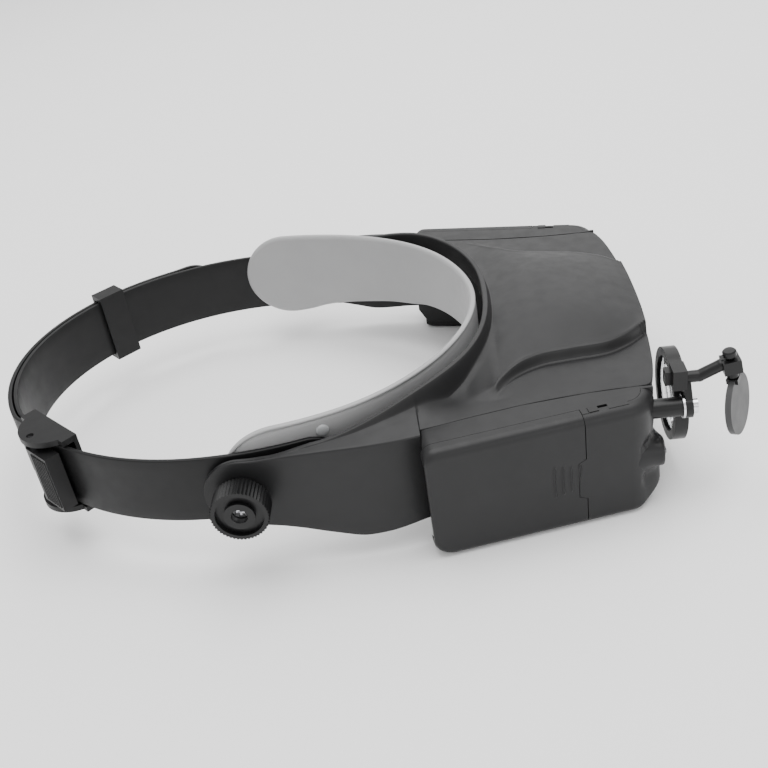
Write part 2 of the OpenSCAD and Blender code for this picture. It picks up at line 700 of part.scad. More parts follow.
module switch_body(side) {
    color(steel) set_down() on_side(side) on_pod() difference() {
        translate([slot_at[0] - 6, slot_at[1] - 2.4, switch_top - 5.4]) cube([12, 4.6, 5.4]);
        translate([slot_at[0] - 3.9, slot_at[1] - 1, switch_top - 1.6]) cube([7.8, 2, 5]);
    }
}
module switch_slider(side) {
    half = 1.8;
    x = slot_at[0] - slot[0] / 2 + half + 0.05;
    color(ink) set_down() on_side(side) on_pod() {
        translate([x - half, slot_at[1] - 1.4, switch_top + 0.25]) cube([2 * half, 2.8, pod_top - switch_top]);
        translate([x - 1.2, slot_at[1] - 0.85, switch_top - 1.4]) cube([2.4, 1.7, 2]);
    }
}
module led(side) {
    color(clear) set_down() on_side(side) {
        rod_y(2.5, pod_front_y - 1.8, -156.5, lamp_x, lamp_z);
        translate([lamp_x, pod_front_y - 1.8, lamp_z]) sphere(2.5);
        rod_y(2.9, -157.5, -156.5, lamp_x, lamp_z);
    }
}
module led_holder(side) {
    color(ink) set_down() on_side(side) difference() {
        rod_y(4.05, pod_front_y - 1.6, -153, lamp_x, lamp_z);
        rod_y(2.5, pod_front_y - 3, -157, lamp_x, lamp_z);
        rod_y(2.9, -158, -150, lamp_x, lamp_z);
    }
}
module pod_screws(side) {
    color(steel) set_down() on_side(side) on_pod() pod_screw_places() {
        translate([0, -cheek_t - 0.35, 0]) rotate([-90, 0, 0]) cylinder(r = pod_screw_r, h = 8.5);
        translate([0, -cheek_t - 0.32, 0]) rotate([90, 0, 0]) cylinder(r = 2.3, h = 1.5);
    }
}
module pod_body_right() { pod_body(RIGHT); }
module pod_body_left() { pod_body(LEFT); }
module battery_door_right() { battery_door(RIGHT); }
module battery_door_left() { battery_door(LEFT); }
module battery_cells_right() { battery_cells(RIGHT); }
module battery_cells_left() { battery_cells(LEFT); }
module battery_contacts_right() { battery_contacts(RIGHT); }
module battery_contacts_left() { battery_contacts(LEFT); }
module switch_body_right() { switch_body(RIGHT); }
module switch_body_left() { switch_body(LEFT); }
module switch_slider_right() { switch_slider(RIGHT); }
module switch_slider_left() { switch_slider(LEFT); }
module led_right() { led(RIGHT); }
module led_left() { led(LEFT); }
module led_holder_right() { led_holder(RIGHT); }
module led_holder_left() { led_holder(LEFT); }
module pod_screws_right() { pod_screws(RIGHT); }
module pod_screws_left() { pod_screws(LEFT); }

// ---- Lens window between the cheeks, and the flip-down second lens ----
bezel_back = -156.4;
bezel_front = -162.4;
bezel_low = -30;
bezel_top = 11.3;
bezel_half = pod_x(bezel_front, pod_depth + 0.3 + cheek_t) - 0.1;
lens_t = 3;
lens_y = (bezel_back + bezel_front) / 2;
lens_mid_z = (bezel_low + bezel_top) / 2;
module upright_plate(w, h, r, y0, y1) {
    translate([-w / 2, y1, lens_mid_z - h / 2]) rotate([90, 0, 0]) linear_extrude(y1 - y0)
        rounded_rect(w, h, r);
}
module front_bezel() {
    color(hood_grey) set_down() difference() {
        translate([-bezel_half, bezel_front, bezel_low])
            cube([2 * bezel_half, bezel_back - bezel_front, bezel_top - bezel_low]);
        upright_plate(lens_w, lens_h, 6, lens_y - lens_t / 2, lens_y + lens_t / 2);
        upright_plate(lens_w - 8, lens_h - 8, 4, bezel_front - 1, bezel_back + 1);
    }
}
module main_lens() {
    color(clear) set_down()
        upright_plate(lens_w, lens_h, 6, lens_y - lens_t / 2, lens_y + lens_t / 2);
}
aux_w = 104;
aux_h = 31;
aux_t = 2.6;
module aux_lens_frame() {
    y = aux_pivot[0];
    z = aux_pivot[1];
    reach = pod_x(y, pod_depth + 0.3) - 0.1;
    color(ink) set_down() difference() {
        union() {
            translate([-aux_w / 2, y - aux_t / 2, z - aux_h + 2]) cube([aux_w, aux_t, aux_h]);
            rod_x(aux_pin_r, -reach, reach, y, z);
        }
        translate([-aux_w / 2 + 4, y - 5, z - aux_h + 5]) cube([aux_w - 8, 10, aux_h - 8.5]);
        translate([-aux_w / 2 + 3, y - 0.8, z - aux_h + 4]) cube([aux_w - 6, 1.6, aux_h - 6.5]);
    }
}
module aux_lens() {
    color(clear) set_down() translate([-aux_w / 2 + 3, aux_pivot[0] - 0.8, aux_pivot[1] - aux_h + 4])
        cube([aux_w - 6, 1.6, aux_h - 6.5]);
}

// ---- Loupe on the right pod ----
loupe_x = 70.3;
loupe_z = 6;
shaft_r = 3.6;
shaft_end = -173.2;
lever_in = -174.1;
lever_out = -176.7;
loupe_side = RIGHT;
clamp_at = [67, -172.6, 16.8];
clamp_size = [7, 5, 8];
ring_at = [47.5, -174.8, -3.4];
ring_t = 5;
ring_bore = 14.6;
module loupe_shaft() {
    color(ink) set_down() on_side(loupe_side) difference() {
        rod_y(shaft_r, shaft_end, -159, loupe_x, loupe_z);
        rod_y(1.5, -180, -165, loupe_x, loupe_z);
    }
}
module loupe_washer() {
    color(steel) set_down() on_side(loupe_side) difference() {
        rod_y(4.4, shaft_end - 0.75, shaft_end - 0.05, loupe_x, loupe_z);
        rod_y(1.5, -180, -170, loupe_x, loupe_z);
    }
}
module loupe_screw() {
    color(steel) set_down() on_side(loupe_side) {
        rod_y(1.5, lever_out - 1.2, -165, loupe_x, loupe_z);
        difference() {
            rod_y(3, lever_out - 2, lever_out - 0.1, loupe_x, loupe_z);
            for (turn = [0, 90]) translate([loupe_x, lever_out - 2.1, loupe_z]) rotate([0, turn, 0])
                cube([0.7, 1.8, 3.6], center = true);
        }
    }
}
module lever_plan(r0, r1) {
    hull() {
        translate([loupe_x, loupe_z]) circle(r0, $fn = 32);
        translate([clamp_at[0], clamp_at[2] - 4]) circle(r1, $fn = 32);
    }
}
module loupe_lever() {
    color(ink) set_down() on_side(loupe_side) difference() {
        union() {
            translate([0, lever_in, 0]) rotate([90, 0, 0]) linear_extrude(lever_in - lever_out) lever_plan(4, 3);
            rod_y(4.4, lever_out, lever_in, loupe_x, loupe_z);
        }
        rod_y(1.5 + running, -180, -170, loupe_x, loupe_z);
        rod_y(tube_r + running, -180, -170, clamp_at[0], tube_z);
        translate(clamp_at) cube(clamp_size, center = true);
    }
}
tube_r = 2.2;
tube_z = 16.2;
tube_bend_y = -180;
tube_end = [-187.4, clamp2[2]];
module loupe_clamp() {
    color(ink) set_down() on_side(loupe_side) difference() {
        union() {
            translate(clamp_at) cube(clamp_size, center = true);
            translate([clamp_at[0] - 1.5, clamp_at[1] + 3.5, clamp_at[2] - 0.5]) cube([4, 2.4, 5.6], center = true);
        }
        rod_y(tube_r + running, -180, clamp_at[1] + 1, clamp_at[0], tube_z);
    }
}
module loupe_ring() {
    tab = atan2(clamp_at[2] - ring_at[2], clamp_at[0] - ring_at[0]);
    color(ink) set_down() on_side(loupe_side) difference() {
        translate([ring_at[0], ring_at[1] + ring_t / 2, ring_at[2]]) rotate([90, 0, 0]) union() {
            cylinder(r = ring_d / 2, h = ring_t, $fn = 96);
            rotate([0, 0, tab]) translate([ring_d / 2 - 3, -2.6, 0.2]) cube([9.4, 5.2, 1.5]);
        }
        rod_y(ring_bore, -190, -160, ring_at[0], ring_at[2]);
        rod_y(ring_bore + 1.2, ring_at[1] - 1.1, ring_at[1] + 1.1, ring_at[0], ring_at[2]);
        translate(clamp_at) cube(clamp_size, center = true);
    }
}
module loupe_lens() {
    r = ring_bore + 1.2;
    bulge = 1.3;
    face_r = ring_bore - 0.1;
    function face_at(t) = [face_r * t, 1.1 + bulge * (1 - t * t)];
    steps = 8;
    color(clear) set_down() on_side(loupe_side) translate(ring_at) rotate([90, 0, 0]) rotate_extrude($fn = 96)
        polygon(concat(
            [for (i = [0:steps]) face_at(i / steps)],
            [[r, 1.1], [r, -1.1]],
            [for (i = [steps:-1:0]) let (p = face_at(i / steps)) [p[0], -p[1]]]
        ));
}
// The tube turns in the clamp and ends in a level socket
module tube_shape() {
    run = [tube_end[0] - tube_bend_y, tube_end[1] - tube_z];
    length = sqrt(run[0] * run[0] + run[1] * run[1]);
    slope = atan2(run[1], -run[0]);
    rod_y(tube_r, tube_bend_y, clamp_at[1] + 0.9, clamp_at[0], tube_z);
    translate([clamp_at[0], tube_bend_y, tube_z]) sphere(tube_r + 0.06);
    translate([clamp_at[0], tube_bend_y, tube_z]) rotate([90 - slope, 0, 0]) cylinder(r = tube_r, h = length);
    translate([clamp_at[0], tube_end[0], tube_end[1]]) sphere(tube_r + 0.06);
    rod_y(tube_r, clamp2[1] + 1.8, tube_end[0], clamp_at[0], tube_end[1]);
}
module loupe_tube() {
    color(ink) set_down() on_side(loupe_side) tube_shape();
}
stem_r = 1.1;
// Frame of the leaning front clamp: the stem stands on its Z axis
module on_clamp2() { translate(clamp2) rotate([-clamp_tilt, 0, 0]) children(); }
module tube_clamp() {
    color(ink) set_down() on_side(loupe_side) difference() {
        on_clamp2() union() {
            cube(clamp2_size, center = true);
            translate([0, 0, -3.8]) cylinder(r = 2.1, h = 2.4, center = true);
        }
        tube_shape();
        on_clamp2() cylinder(r = stem_r + running, h = 40, center = true);
    }
}
module clamp_thumbscrew() {
    color(ink) set_down() on_side(loupe_side) on_clamp2() translate([0, 0, clamp2_size[2] / 2])
        rotate_extrude() polygon([[0, -2.2], [1.05, -2.2], [1.05, 0.3], [1.6, 0.4], [1.6, 0.9], [2.45, 1.3],
            [2.45, 2.9], [2, 3.4], [0, 3.5]]);
}
module on_small_lens() { on_clamp2() translate([0, 0, -lens_drop]) rotate([0, 0, small_lens_turn]) children(); }
module small_lens_disc() { rotate([90, 0, 0]) cylinder(r = small_lens_d / 2, h = small_lens_t, center = true, $fn = 96); }
module small_lens() {
    color("gray") set_down() on_side(loupe_side) on_small_lens() small_lens_disc();
}
module small_lens_stem() {
    low = small_lens_d / 2 - 1.6;
    color(ink) set_down() on_side(loupe_side) on_small_lens() difference() {
        union() {
            translate([0, 0, low + 1.4]) cylinder(r = stem_r, h = lens_drop + 0.2 - low - 1.4);
            translate([-2.1, -2.1, low]) cube([4.2, 4.2, 2]);
        }
        small_lens_disc();
    }
}

visor_shell();
side_arm_right();
side_arm_left();
front_bezel();
main_lens();
aux_lens_frame();
aux_lens();
pod_body_right();
pod_body_left();
battery_door_right();
battery_door_left();
battery_cells_right();
battery_cells_left();
battery_contacts_right();
battery_contacts_left();
switch_body_right();
switch_body_left();
switch_slider_right();
switch_slider_left();
led_right();
led_left();
led_holder_right();
led_holder_left();
pod_screws_right();
pod_screws_left();
knob_right();
knob_left();
pivot_screw_right();
pivot_screw_left();
pivot_nut_right();
pivot_nut_left();
pivot_washer_right();
pivot_washer_left();
strap_right();
strap_left();
forehead_pad();
pad_stud_right();
pad_stud_left();
keeper_loop();
buckle_body();
buckle_cam();
buckle_pin();
loupe_shaft();
loupe_washer();
loupe_screw();
loupe_lever();
loupe_clamp();
loupe_ring();
loupe_lens();
loupe_tube();
tube_clamp();
clamp_thumbscrew();
small_lens();
small_lens_stem();
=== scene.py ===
import bpy
import bmesh
import json
import math
import numpy as np
from mathutils import Vector, Matrix


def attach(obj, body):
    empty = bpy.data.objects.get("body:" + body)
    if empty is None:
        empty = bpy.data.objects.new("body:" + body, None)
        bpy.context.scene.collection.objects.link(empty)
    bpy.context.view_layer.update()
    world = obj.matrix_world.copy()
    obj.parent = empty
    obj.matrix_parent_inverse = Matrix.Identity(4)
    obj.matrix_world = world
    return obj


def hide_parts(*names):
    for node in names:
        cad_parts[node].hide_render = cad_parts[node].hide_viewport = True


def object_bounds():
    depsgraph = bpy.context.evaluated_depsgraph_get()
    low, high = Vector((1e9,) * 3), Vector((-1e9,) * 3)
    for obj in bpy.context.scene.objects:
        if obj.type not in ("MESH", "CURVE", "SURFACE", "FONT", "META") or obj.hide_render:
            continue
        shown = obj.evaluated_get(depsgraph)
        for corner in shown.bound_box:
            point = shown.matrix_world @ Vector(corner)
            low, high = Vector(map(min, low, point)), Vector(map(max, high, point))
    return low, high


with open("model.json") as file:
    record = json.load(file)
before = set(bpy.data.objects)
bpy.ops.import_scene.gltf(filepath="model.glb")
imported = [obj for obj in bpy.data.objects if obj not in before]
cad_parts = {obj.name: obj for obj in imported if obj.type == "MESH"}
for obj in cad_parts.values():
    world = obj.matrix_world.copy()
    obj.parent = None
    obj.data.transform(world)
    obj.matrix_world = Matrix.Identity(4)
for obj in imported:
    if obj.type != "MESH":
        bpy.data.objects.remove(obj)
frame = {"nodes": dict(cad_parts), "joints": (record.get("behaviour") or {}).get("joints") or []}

cad_lo, cad_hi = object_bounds()
NODES = frame["nodes"]
JOINT = {j["name"]: j for j in frame["joints"]}
SCENE = bpy.context.scene

# Shapes are drawn in millimetres from the middle of the headband loop, which the tilt pivot places in the
# frame: X to the wearer's left, -Y to the front, Z up
PIVOT_Y = -13.2
PIVOT = Vector(JOINT["hood_tilt"]["pos_m"])
HOME = Vector((0.0, PIVOT.y - PIVOT_Y / 1000, PIVOT.z))


def at(p):
    """A drawn point in the frame's metres."""
    return Vector((p[0] / 1000, p[1] / 1000, p[2] / 1000)) + HOME


# ---------------------------------------------------------------- materials
def node_tree(name):
    m = bpy.data.materials.new(name)
    m.use_nodes = True
    return m, m.node_tree.nodes, m.node_tree.links


def add_bump(nt, links, shader, layers):
    """Stacks bump layers: (kind, scale, strength, distance)."""
    coord = nt.new("ShaderNodeTexCoord")
    last = None
    for kind, scale, strength, distance in layers:
        if kind == "noise":
            t = nt.new("ShaderNodeTexNoise")
            t.inputs["Scale"].default_value = scale
            t.inputs["Detail"].default_value = 4
            out = t.outputs["Fac"]
        elif kind == "grain":
            t = nt.new("ShaderNodeTexVoronoi")
            t.inputs["Scale"].default_value = scale
            out = t.outputs["Distance"]
        links.new(coord.outputs["Object"], t.inputs["Vector"])
        b = nt.new("ShaderNodeBump")
        b.inputs["Strength"].default_value = strength
        b.inputs["Distance"].default_value = distance
        links.new(out, b.inputs["Height"])
        if last is not None:
            links.new(last.outputs["Normal"], b.inputs["Normal"])
        last = b
    links.new(last.outputs["Normal"], shader.inputs["Normal"])


def vary(nt, links, shader, base, spread, scale, rough, rough_spread, rough_scale):
    """Slow colour and roughness variation over the surface."""
    coord = nt.new("ShaderNodeTexCoord")
    n1 = nt.new("ShaderNodeTexNoise")
    n1.inputs["Scale"].default_value = scale
    n1.inputs["Detail"].default_value = 5
    links.new(coord.outputs["Object"], n1.inputs["Vector"])
    ramp = nt.new("ShaderNodeValToRGB")
    lo = [max(0.0, c * (1 - spread)) for c in base[:3]] + [1]
    hi = [c * (1 + spread) for c in base[:3]] + [1]
    ramp.color_ramp.elements[0].position = 0.3
    ramp.color_ramp.elements[1].position = 0.7
    ramp.color_ramp.elements[0].color = lo
    ramp.color_ramp.elements[1].color = hi
    links.new(n1.outputs["Fac"], ramp.inputs["Fac"])
    links.new(ramp.outputs["Color"], shader.inputs["Base Color"])
    n2 = nt.new("ShaderNodeTexNoise")
    n2.inputs["Scale"].default_value = rough_scale
    n2.inputs["Detail"].default_value = 6
    links.new(coord.outputs["Object"], n2.inputs["Vector"])
    rng = nt.new("ShaderNodeMapRange")
    rng.inputs["From Min"].default_value = 0.3
    rng.inputs["From Max"].default_value = 0.7
    rng.inputs["To Min"].default_value = rough - rough_spread
    rng.inputs["To Max"].default_value = rough + rough_spread
    links.new(n2.outputs["Fac"], rng.inputs["Value"])
    links.new(rng.outputs["Result"], shader.inputs["Roughness"])


def plastic(name, base, rough, specular, spread=0.06, grain=2600, grain_strength=0.12):
    """Moulded plastic: a fine grain over slow changes of colour and roughness."""
    m, nt, links = node_tree(name)
    s = nt["Principled BSDF"]
    s.inputs["Base Color"].default_value = (*base, 1)
    s.inputs["Specular IOR Level"].default_value = specular
    vary(nt, links, s, base, spread, 60, rough, 0.05, 180)
    add_bump(nt, links, s, [("noise", grain, grain_strength, 0.00006), ("noise", 420, 0.05, 0.00012)])
    return m


def metal(name, base, rough=0.16):
    m, nt, links = node_tree(name)
    s = nt["Principled BSDF"]
    s.inputs["Metallic"].default_value = 1
    s.inputs["Base Color"].default_value = (*base, 1)
    vary(nt, links, s, base, 0.04, 300, rough, 0.05, 700)
    add_bump(nt, links, s, [("noise", 1800, 0.08, 0.00004)])
    return m


ACRYLIC_IOR = 1.49


def glass(name, tint=(0.97, 0.99, 1.0), rough=0.02):
    m, nt, links = node_tree(name)
    s = nt["Principled BSDF"]
    s.inputs["Base Color"].default_value = (*tint, 1)
    s.inputs["Transmission Weight"].default_value = 1
    s.inputs["IOR"].default_value = ACRYLIC_IOR
    coord = nt.new("ShaderNodeTexCoord")
    n = nt.new("ShaderNodeTexNoise")
    n.inputs["Scale"].default_value = 90
    links.new(coord.outputs["Object"], n.inputs["Vector"])
    rng = nt.new("ShaderNodeMapRange")
    rng.inputs["To Min"].default_value = rough * 0.5
    rng.inputs["To Max"].default_value = rough * 1.8
    links.new(n.outputs["Fac"], rng.inputs["Value"])
    links.new(rng.outputs["Result"], s.inputs["Roughness"])
    return m


HOOD = plastic("hood_satin", (0.0155, 0.0155, 0.016), rough=0.40, specular=0.26,
               grain=3400, grain_strength=0.16)
STRAP = plastic("strap_satin", (0.0065, 0.0065, 0.0068), rough=0.44, specular=0.26,
                grain=2200, grain_strength=0.14)
BLACK = plastic("black_satin", (0.006, 0.006, 0.0063), rough=0.34, specular=0.3)
STEEL = metal("plated_steel", (0.82, 0.82, 0.84))
CLEAR = glass("clear_acrylic")
LED = glass("lamp_epoxy", (0.95, 0.97, 1.0), 0.05)
GREY_LENS = plastic("smoked_lens", (0.07, 0.07, 0.071), rough=0.4, specular=0.12, spread=0.02,
                    grain=900, grain_strength=0.02)
CELL = metal("cell_sleeve", (0.42, 0.43, 0.45), rough=0.34)


def pad_material():
    """Soft pale vinyl over thin foam."""
    m, nt, links = node_tree("pad_vinyl")
    s = nt["Principled BSDF"]
    base = (0.33, 0.33, 0.332)
    s.inputs["Base Color"].default_value = (*base, 1)
    s.inputs["Subsurface Weight"].default_value = 0.25
    s.inputs["Subsurface Radius"].default_value = (0.004, 0.004, 0.004)
    s.inputs["Subsurface Scale"].default_value = 0.6
    s.inputs["Sheen Weight"].default_value = 0.1
    vary(nt, links, s, base, 0.035, 45, 0.48, 0.06, 240)
    add_bump(nt, links, s, [("grain", 1500, 0.10, 0.00008), ("noise", 160, 0.10, 0.00035)])
    return m


PAD = pad_material()


def tab_material():
    """Translucent grey of the bumps behind the ends of the straps."""
    m, nt, links = node_tree("pad_tab")
    s = nt["Principled BSDF"]
    base = (0.62, 0.63, 0.64)
    s.inputs["Transmission Weight"].default_value = 0.45
    s.inputs["IOR"].default_value = 1.5
    vary(nt, links, s, base, 0.03, 200, 0.2, 0.04, 500)
    return m


TAB = tab_material()


# ---------------------------------------------------------------- mesh tools
def piece(name, points, faces, mat, body, sharp):
    """A piece that rides on a body; edges turned by more than sharp degrees stay crisp."""
    mesh = bpy.data.meshes.new(name)
    mesh.from_pydata([at(p) for p in points], [], [list(f) for f in faces])
    mesh.validate()
    bm = bmesh.new()
    bm.from_mesh(mesh)
    bmesh.ops.remove_doubles(bm, verts=bm.verts, dist=1e-7)
    bmesh.ops.dissolve_degenerate(bm, edges=bm.edges, dist=1e-7)
    bmesh.ops.recalc_face_normals(bm, faces=bm.faces)
    bm.to_mesh(mesh)
    bm.free()
    for f in mesh.polygons:
        f.use_smooth = True
    mesh.set_sharp_from_angle(angle=math.radians(sharp))
    mesh.materials.append(mat)
    ob = bpy.data.objects.new(name, mesh)
    SCENE.collection.objects.link(ob)
    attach(ob, body)
    return ob


class Shape:
    """Collects points and faces of one piece."""

    def __init__(self):
        self.p = []
        self.f = []

    def add(self, points, faces):
        base = len(self.p)
        self.p += [tuple(q) for q in points]
        self.f += [tuple(i + base for i in f) for f in faces]

    def loft(self, rings, caps=True):
        """A skin over closed rings of equal length, in order; caps closes both ends."""
        n, m = len(rings[0]), len(rings)
        faces = []
        for i in range(m - 1):
            row, above = i * n, (i + 1) * n
            for k in range(n):
                after = (k + 1) % n
                faces.append((row + k, row + after, above + after, above + k))
        if caps:
            faces.append(tuple(range(n - 1, -1, -1)))
            faces.append(tuple((m - 1) * n + k for k in range(n)))
        self.add([q for ring in rings for q in ring], faces)

    def moved(self, fn):
        self.p = [tuple(fn(q)) for q in self.p]

    def done(self, name, mat, body, slot, sharp=32.0):
        return piece(name, self.p, self.f, mat, body, sharp)


def mix(a, b, t):
    """The value t of the way from a to b."""
    return a + (b - a) * t


def clamp01(t):
    return max(0.0, min(1.0, t))


def ease(t):
    """0 to 1 with a soft start and end."""
    c = clamp01(t)
    return c * c * (3 - 2 * c)


CORNER_STEPS = 5


def rounded(points, radii):
    """A closed outline with each corner rounded by its own radius."""
    out = []
    m = len(points)
    for i in range(m):
        p = Vector(points[i])
        a = Vector(points[i - 1]) - p
        b = Vector(points[(i + 1) % m]) - p
        ang = a.angle(b)
        cut = min(radii[i] / math.tan(ang / 2), a.length * 0.49, b.length * 0.49)
        r = cut * math.tan(ang / 2)
        s = p + a.normalized() * cut
        e = p + b.normalized() * cut
        c = p + (a.normalized() + b.normalized()).normalized() * (r / math.sin(ang / 2))
        a0 = math.atan2(s.y - c.y, s.x - c.x)
        a1 = math.atan2(e.y - c.y, e.x - c.x)
        d = (a1 - a0 + math.pi) % (2 * math.pi) - math.pi
        for k in range(CORNER_STEPS + 1):
            t = a0 + d * k / CORNER_STEPS
            out.append((c.x + r * math.cos(t), c.y + r * math.sin(t)))
    return out


def catmull(keys, per):
    """Centripetal curve through rows of numbers, per steps between rows."""
    k = np.array(keys, float)
    k = np.vstack([2 * k[0] - k[1], k, 2 * k[-1] - k[-2]])
    out = []
    for i in range(1, len(k) - 2):
        p0, p1, p2, p3 = k[i - 1], k[i], k[i + 1], k[i + 2]
        t0 = 0.0
        t1 = t0 + max(1e-6, np.linalg.norm(p1 - p0)) ** 0.5
        t2 = t1 + max(1e-6, np.linalg.norm(p2 - p1)) ** 0.5
        t3 = t2 + max(1e-6, np.linalg.norm(p3 - p2)) ** 0.5
        for s in range(per):
            t = t1 + (t2 - t1) * s / per
            a1 = (t1 - t) / (t1 - t0) * p0 + (t - t0) / (t1 - t0) * p1
            a2 = (t2 - t) / (t2 - t1) * p1 + (t - t1) / (t2 - t1) * p2
            a3 = (t3 - t) / (t3 - t2) * p2 + (t - t2) / (t3 - t2) * p3
            b1 = (t2 - t) / (t2 - t0) * a1 + (t - t0) / (t2 - t0) * a2
            b2 = (t3 - t) / (t3 - t1) * a2 + (t - t1) / (t3 - t1) * a3
            out.append((t2 - t) / (t2 - t1) * b1 + (t - t1) / (t2 - t1) * b2)
    out.append(k[-2])
    return np.array(out)


def interp(x, xs, ys):
    """Smooth curve through a few values; xs rises."""
    xs = np.array(xs, float)
    ys = np.array(ys, float)
    if x <= xs[0]:
        return float(ys[0])
    if x >= xs[-1]:
        return float(ys[-1])
    d = np.gradient(ys, xs)
    i = int(np.searchsorted(xs, x) - 1)
    h = xs[i + 1] - xs[i]
    t = (x - xs[i]) / h
    return float((2 * t**3 - 3 * t**2 + 1) * ys[i] + (t**3 - 2 * t**2 + t) * h * d[i]
                 + (-2 * t**3 + 3 * t**2) * ys[i + 1] + (t**3 - t**2) * h * d[i + 1])


def lathe(profile, n):
    """Rings of n points round local Z from (radius, z) points."""
    turns = [2 * math.pi * i / n for i in range(n)]
    return [[(r * math.cos(t), r * math.sin(t), z) for t in turns] for r, z in profile]


def mover(origin, x, y, z):
    """Maps local points to the drawing: origin plus the three axes given as unit vectors."""
    o, x, y, z = Vector(origin), Vector(x), Vector(y), Vector(z)
    return lambda q: o + x * q[0] + y * q[1] + z * q[2]


BEVEL_STEPS = 4


def plate(shape, outline, z0, z1, bevel):
    """A flat plate from an outline in local (x, y), between z0 and z1, with rounded edges."""
    pts = [Vector(p) for p in outline]
    m = len(pts)
    area = sum(pts[i].x * pts[(i + 1) % m].y - pts[(i + 1) % m].x * pts[i].y for i in range(m))
    if area < 0:
        pts.reverse()
    normals = []
    for i in range(m):
        a = (pts[i] - pts[i - 1])
        b = (pts[(i + 1) % m] - pts[i])
        a = a.normalized() if a.length > 1e-9 else b.normalized()
        b = b.normalized() if b.length > 1e-9 else a
        t = (a + b)
        t = t.normalized() if t.length > 1e-9 else a
        nrm = Vector((t.y, -t.x))
        k = max(0.5, abs(nrm.dot(Vector((a.y, -a.x)))))
        normals.append(nrm / k)

    def ring(inset, z):
        return [(p.x - q.x * inset, p.y - q.y * inset, z) for p, q in zip(pts, normals)]

    turns = [math.pi / 2 * i / BEVEL_STEPS for i in range(BEVEL_STEPS + 1)]
    rings = [ring(bevel * (1 - math.sin(t)), z0 + bevel * (1 - math.cos(t))) for t in turns]
    rings += [ring(bevel * (1 - math.cos(t)), z1 - bevel * (1 - math.sin(t))) for t in turns]
    shape.loft(rings)


# ---------------------------------------------------------------- the headband loop
LOOP_A = 83.0                   # half width of the loop
LOOP_F, LOOP_R = 105.8, 94.0    # how far it reaches to the front and to the rear
STRAP_HALF, STRAP_T, STRAP_EDGE = 14.1, 1.8, 0.5    # half height, thickness and edge radius of the straps
STRAP_FRONT = 50.0              # how far ahead of the loop's middle the straps end


def loop(a, d):
    """Point of the loop at a degrees from +X, set out by d, and the outward direction."""
    t = math.radians(a)
    b = LOOP_F if math.sin(t) < 0 else LOOP_R
    x, y = LOOP_A * math.cos(t), b * math.sin(t)
    nx, ny = math.cos(t) / LOOP_A, math.sin(t) / b
    k = math.hypot(nx, ny)
    return x + d * math.cos(t), y + d * math.sin(t), nx / k, ny / k


def loop_len(a0, a1, n=400):
    """Angles from a0 to a1 and the length of the loop up to each."""
    pts = [loop(mix(a0, a1, i / n), 0)[:2] for i in range(n + 1)]
    s = [0.0]
    for p, q in zip(pts, pts[1:]):
        s.append(s[-1] + math.hypot(q[0] - p[0], q[1] - p[1]))
    return [mix(a0, a1, i / n) for i in range(n + 1)], s


def band_rings(a0, a1, lift, count, round_end):
    """Sections of a strap along the loop; its start, and its end if asked for, are half circles."""
    angs, s = loop_len(a0, a1)
    total = s[-1]
    tip = STRAP_HALF
    stops = set(np.linspace(0, total, count))
    for base, sgn in [(0.0, 1), (total, -1)] if round_end else [(0.0, 1)]:
        for i in range(22):
            stops.add(base + sgn * tip * (1 - math.cos(math.pi / 2 * i / 21)))
    rings = []
    for q in sorted(stops):
        a = float(np.interp(q, s, angs))
        h = STRAP_HALF
        if q < tip:
            h = math.sqrt(max(0.0, tip ** 2 - (tip - q) ** 2)) / tip * STRAP_HALF
        if round_end and total - q < tip:
            h = min(h, math.sqrt(max(0.0, tip ** 2 - (tip - total + q) ** 2)) / tip * STRAP_HALF)
        h = max(h, 0.05)
        d = lift(a)
        t = STRAP_T / 2
        e = min(STRAP_EDGE, h * 0.9, t)
        sec = []
        for cx, cz, a_0 in ((t - e, h - e, 0), (-t + e, h - e, 90),
                            (-t + e, -h + e, 180), (t - e, -h + e, 270)):
            for k in range(4):
                w = math.radians(a_0 + 30 * k)
                sec.append((cx + e * math.cos(w), cz + e * math.sin(w)))
        full = []
        for k in range(len(sec)):
            p, r = sec[k], sec[(k + 1) % len(sec)]
            full.append(p)
            if abs(p[1] - r[1]) > 3:
                full += [(mix(p[0], r[0], j / 6), mix(p[1], r[1], j / 6)) for j in range(1, 6)]
        rings.append([(*loop(a, d + u)[:2], z) for u, z in full])
    # the very ends of the tips are too low for the points inside the faces, so they are left out
    most = max(len(r) for r in rings)
    return [r for r in rings if len(r) == most]


OVER = 2.4                      # how far the straps step apart where they overlap behind
CROSS = 126.0                   # angle of that step


def lift_right(a):
    """How far the right strap lies outside the loop: over the left one behind, and at its tip."""
    return OVER * ease((CROSS - a) / 8) + 3.5 * ease((27 - a) / 14)


def lift_left(a):
    """The same for the left strap, which passes inside the right one."""
    return -OVER * ease((a - CROSS + 8) / 8)


TONGUE = math.degrees(math.asin(STRAP_FRONT / LOOP_F))


def build_strap(name, *course):
    s = Shape()
    s.loft(band_rings(*course))
    band = s.done("strap_band_" + name, STRAP, "headband", "strap_plastic")
    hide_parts("strap_" + name)


# ---------------------------------------------------------------- forehead pad
PAD_TIP_R, PAD_TIP_L = -177.02, 4.03    # loop angles of the pad's ends
PAD_TIP = 22.0                  # length over which each end is rounded
PAD_ROWS = 44                   # points across each face
PAD_EDGE = 2.5                  # depth of the line along its edge
PAD_IN, PAD_LIP, PAD_CROWN = 4.08, 1.3, 1.14    # depth of the inner face, the outer lip and the outer middle
TAB_R, TAB_H, TAB_ANGLE = 2.5, 0.8, 24.6    # the bumps behind the ends of the straps


